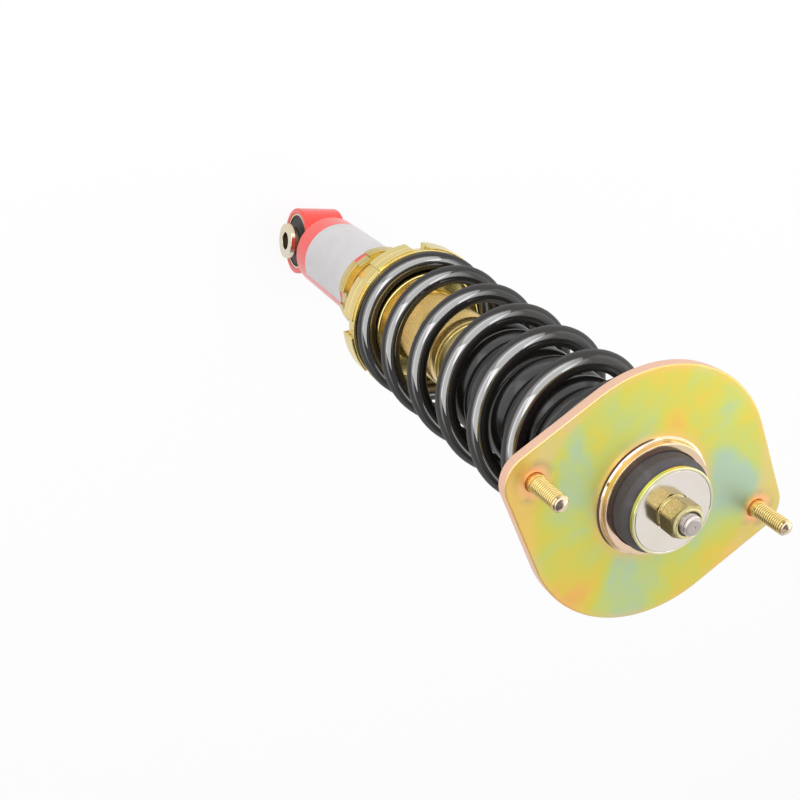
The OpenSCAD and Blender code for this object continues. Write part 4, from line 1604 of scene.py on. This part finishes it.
@dataclass
class Rod:
    """The chromed rod with its threaded stem."""

    rod_r: float = 6.25
    stem_r: float = 5.0
    pitch: float = 1.0

    def build(self) -> None:
        """Builds and dresses the rod."""
        low, tip = extent("piston_rod")
        shoulder = extent("bottom_washer")[0]
        piston = extent("piston")[1]
        start = extent("stem_spacer")[0]
        profile = rounded([(0, low, 0), (self.stem_r, low, 1.0), (self.stem_r, piston, 0.2),
                           (self.rod_r, piston, 0.5), (self.rod_r, shoulder, 0.4),
                           (self.stem_r, shoulder, 0.2), (self.stem_r, start, 0)])
        profile += fine_steps(self.stem_r, start + 0.1, tip - 1.5, self.pitch / 8)
        profile += rounded([(self.stem_r - 0.3, tip - 1.45, 0), (self.stem_r - 1.0, tip - 0.2, 0.5),
                            (self.stem_r - 1.8, tip, 0.3), (0.8, tip, 0.1), (0, tip - 0.4, 0)])
        cut = thread_relief(self.stem_r, 0.45, self.pitch, start + 0.1, tip - 1.5)
        piece = turned("chrome_rod", profile, sides=64, relief=cut, sharp=70.0)
        fit(piece, CHROME, Body.ROD, "piston_rod")


class InnerPieces:
    """The pieces that stay as they are modelled and only get a finish."""

    FINISHES: dict[str, Finish] = {
        "lower_bush": RUBBER, "stem_sleeve": BARE_STEEL, "bottom_washer": PLAIN_ZINC,
        "bump_stop": FOAM, "rod_guide": BRONZE, "rod_seal": RUBBER, "rebound_stop": NYLON,
        "piston": BRONZE, "piston_band": NYLON, "valve_shims": BARE_STEEL, "piston_nut": BARE_STEEL,
        "floating_piston": BRONZE, "floating_piston_ring": RUBBER,
    }

    def build(self) -> None:
        """Gives each of them its finish."""
        for node, finish in self.FINISHES.items():
            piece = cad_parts[node]
            for place in piece.material_slots:
                place.material = finish.material()
            log.info("%s: finished in %s", node, finish.name)


# ---------------------------------------------------------------- studio


class Softbox(NamedTuple):
    """A rectangular lamp that faces the part.

    Attributes:
        name: its name.
        azimuth: its direction in degrees.
        elevation: its height in degrees.
        far: its distance in metres.
        size: its two sides in metres.
        power: its strength in watts.
    """

    name: str
    azimuth: float
    elevation: float
    far: float
    size: Point
    power: float


@dataclass
class Studio:
    """A pale floor, soft lamps and the camera."""

    floor_half: float = 6.0
    floor_drop: float = 0.0105
    floor_white: float = 0.88
    floor_grey: float = 0.86
    ceiling: float = 0.12
    white_to: float = 0.30
    dark_from: float = 0.50
    ambient: float = 0.36
    lens: float = 52.71
    sensor: float = 36.0
    camera_at: Corner = (-0.3592, 0.1501, 0.7933)
    right: Corner = (0.8618, 0.2922, 0.4146)
    up: Corner = (-0.1275, 0.916, -0.3804)
    back: Corner = (-0.4909, 0.275, 0.8267)
    lamps_aim: Corner = (0.0, 0.0, 0.26)
    boxes: tuple[Softbox, ...] = (
        Softbox("left_softbox", 176.0, 42.0, 1.1, (1.25, 1.15), 7.4),
        Softbox("back_softbox", 104.0, 42.0, 1.1, (1.45, 1.15), 8.6),
        Softbox("right_softbox", 30.0, 36.0, 1.1, (1.05, 1.0), 4.6),
        Softbox("overhead_softbox", -29.0, 56.0, 1.5, (1.3, 1.3), 4.6),
    )

    def build(self) -> None:
        """Builds the studio."""
        self.floor()
        self.world()
        self.lamps()
        self.camera()
        bpy.context.scene.view_settings.view_transform = "Standard"

    def floor(self) -> None:
        """A plain white floor that keeps the shadow but reads as white to the camera."""
        z = CAD_BOX[0].z - self.floor_drop
        h = self.floor_half
        mesh = bpy.data.meshes.new("floor")
        mesh.from_pydata([(-h, -h, z), (h, -h, z), (h, h, z), (-h, h, z)], [], [(0, 1, 2, 3)])
        floor = placed("floor", mesh)
        g = Graph("studio_floor")
        matt = g.node("ShaderNodeBsdfDiffuse", inputs={"Color": (*[self.floor_grey] * 3, 1.0)})
        white = g.node("ShaderNodeEmission", inputs={"Color": WHITE, "Strength": 1.0})
        share = self.seen(g) * self.floor_white
        both = g.node("ShaderNodeMixShader", inputs={0: share, 1: g.wire(matt), 2: g.wire(white)})
        g.node("ShaderNodeOutputMaterial", inputs={0: g.wire(both)})
        mesh.materials.append(g.owner)

    @staticmethod
    def seen(g: Graph) -> Wire:
        """1 for rays that show a background: seen straight, mirrored or through glass."""
        path = g.node("ShaderNodeLightPath")
        straight = g.wire(path, "Is Camera Ray")
        mirrored = g.wire(path, "Is Glossy Ray")
        through = g.wire(path, "Is Transmission Ray")
        return (straight + mirrored + through).clamped()

    def world(self) -> None:
        """Even light, seen as white up to a dark ceiling, which gives metal its contrast."""
        world = bpy.data.worlds.new("studio")
        bpy.context.scene.world = world
        g = Graph("studio", world)
        height = g.split(g.place("Generated"))[2]
        white = 1 - height.over(self.white_to, self.dark_from) * (1 - self.ceiling)
        seen = self.seen(g)
        strength = seen * white + (1 - seen) * self.ambient
        lit = g.node("ShaderNodeBackground", inputs={"Color": WHITE, "Strength": strength})
        g.node("ShaderNodeOutputWorld", inputs={0: g.wire(lit)})

    def lamps(self) -> None:
        """Softboxes round the left, the back and the right, and one overhead."""
        aim = Vector(self.lamps_aim)
        for box in self.boxes:
            lamp = bpy.data.lights.new(box.name, "AREA")
            lamp.shape = "RECTANGLE"
            lamp.size, lamp.size_y = box.size
            lamp.energy = box.power
            made = placed(box.name, lamp)
            turn, lift = math.radians(box.azimuth), math.radians(box.elevation)
            flat = math.cos(lift)
            towards = Vector((math.cos(turn) * flat, math.sin(turn) * flat, math.sin(lift)))
            made.location = aim + towards * box.far
            made.rotation_euler = towards.to_track_quat("Z", "Y").to_euler()

    def camera(self) -> None:
        """The camera."""
        data = bpy.data.cameras.new("camera")
        data.lens, data.sensor_width = self.lens, self.sensor
        made = placed("camera", data)
        basis = Matrix((self.right, self.up, self.back)).transposed().to_4x4()
        made.matrix_world = Matrix.Translation(Vector(self.camera_at)) @ basis
        bpy.context.scene.camera = made


def main() -> None:
    """Builds the sub-assemblies in order, from the top down, then the studio."""
    logging.basicConfig(level=logging.INFO, format="%(name)s %(message)s")
    for assembly in (TopMount(), UpperSeat(), CoilSpring(), DustBoot(), Damper(), Collars(),
                     LowerSocket(), LowerEye(), Rod(), InnerPieces(), Studio()):
        log.info("building %s", type(assembly).__name__)
        assembly.build()


if __name__ == "__main__":
    main()
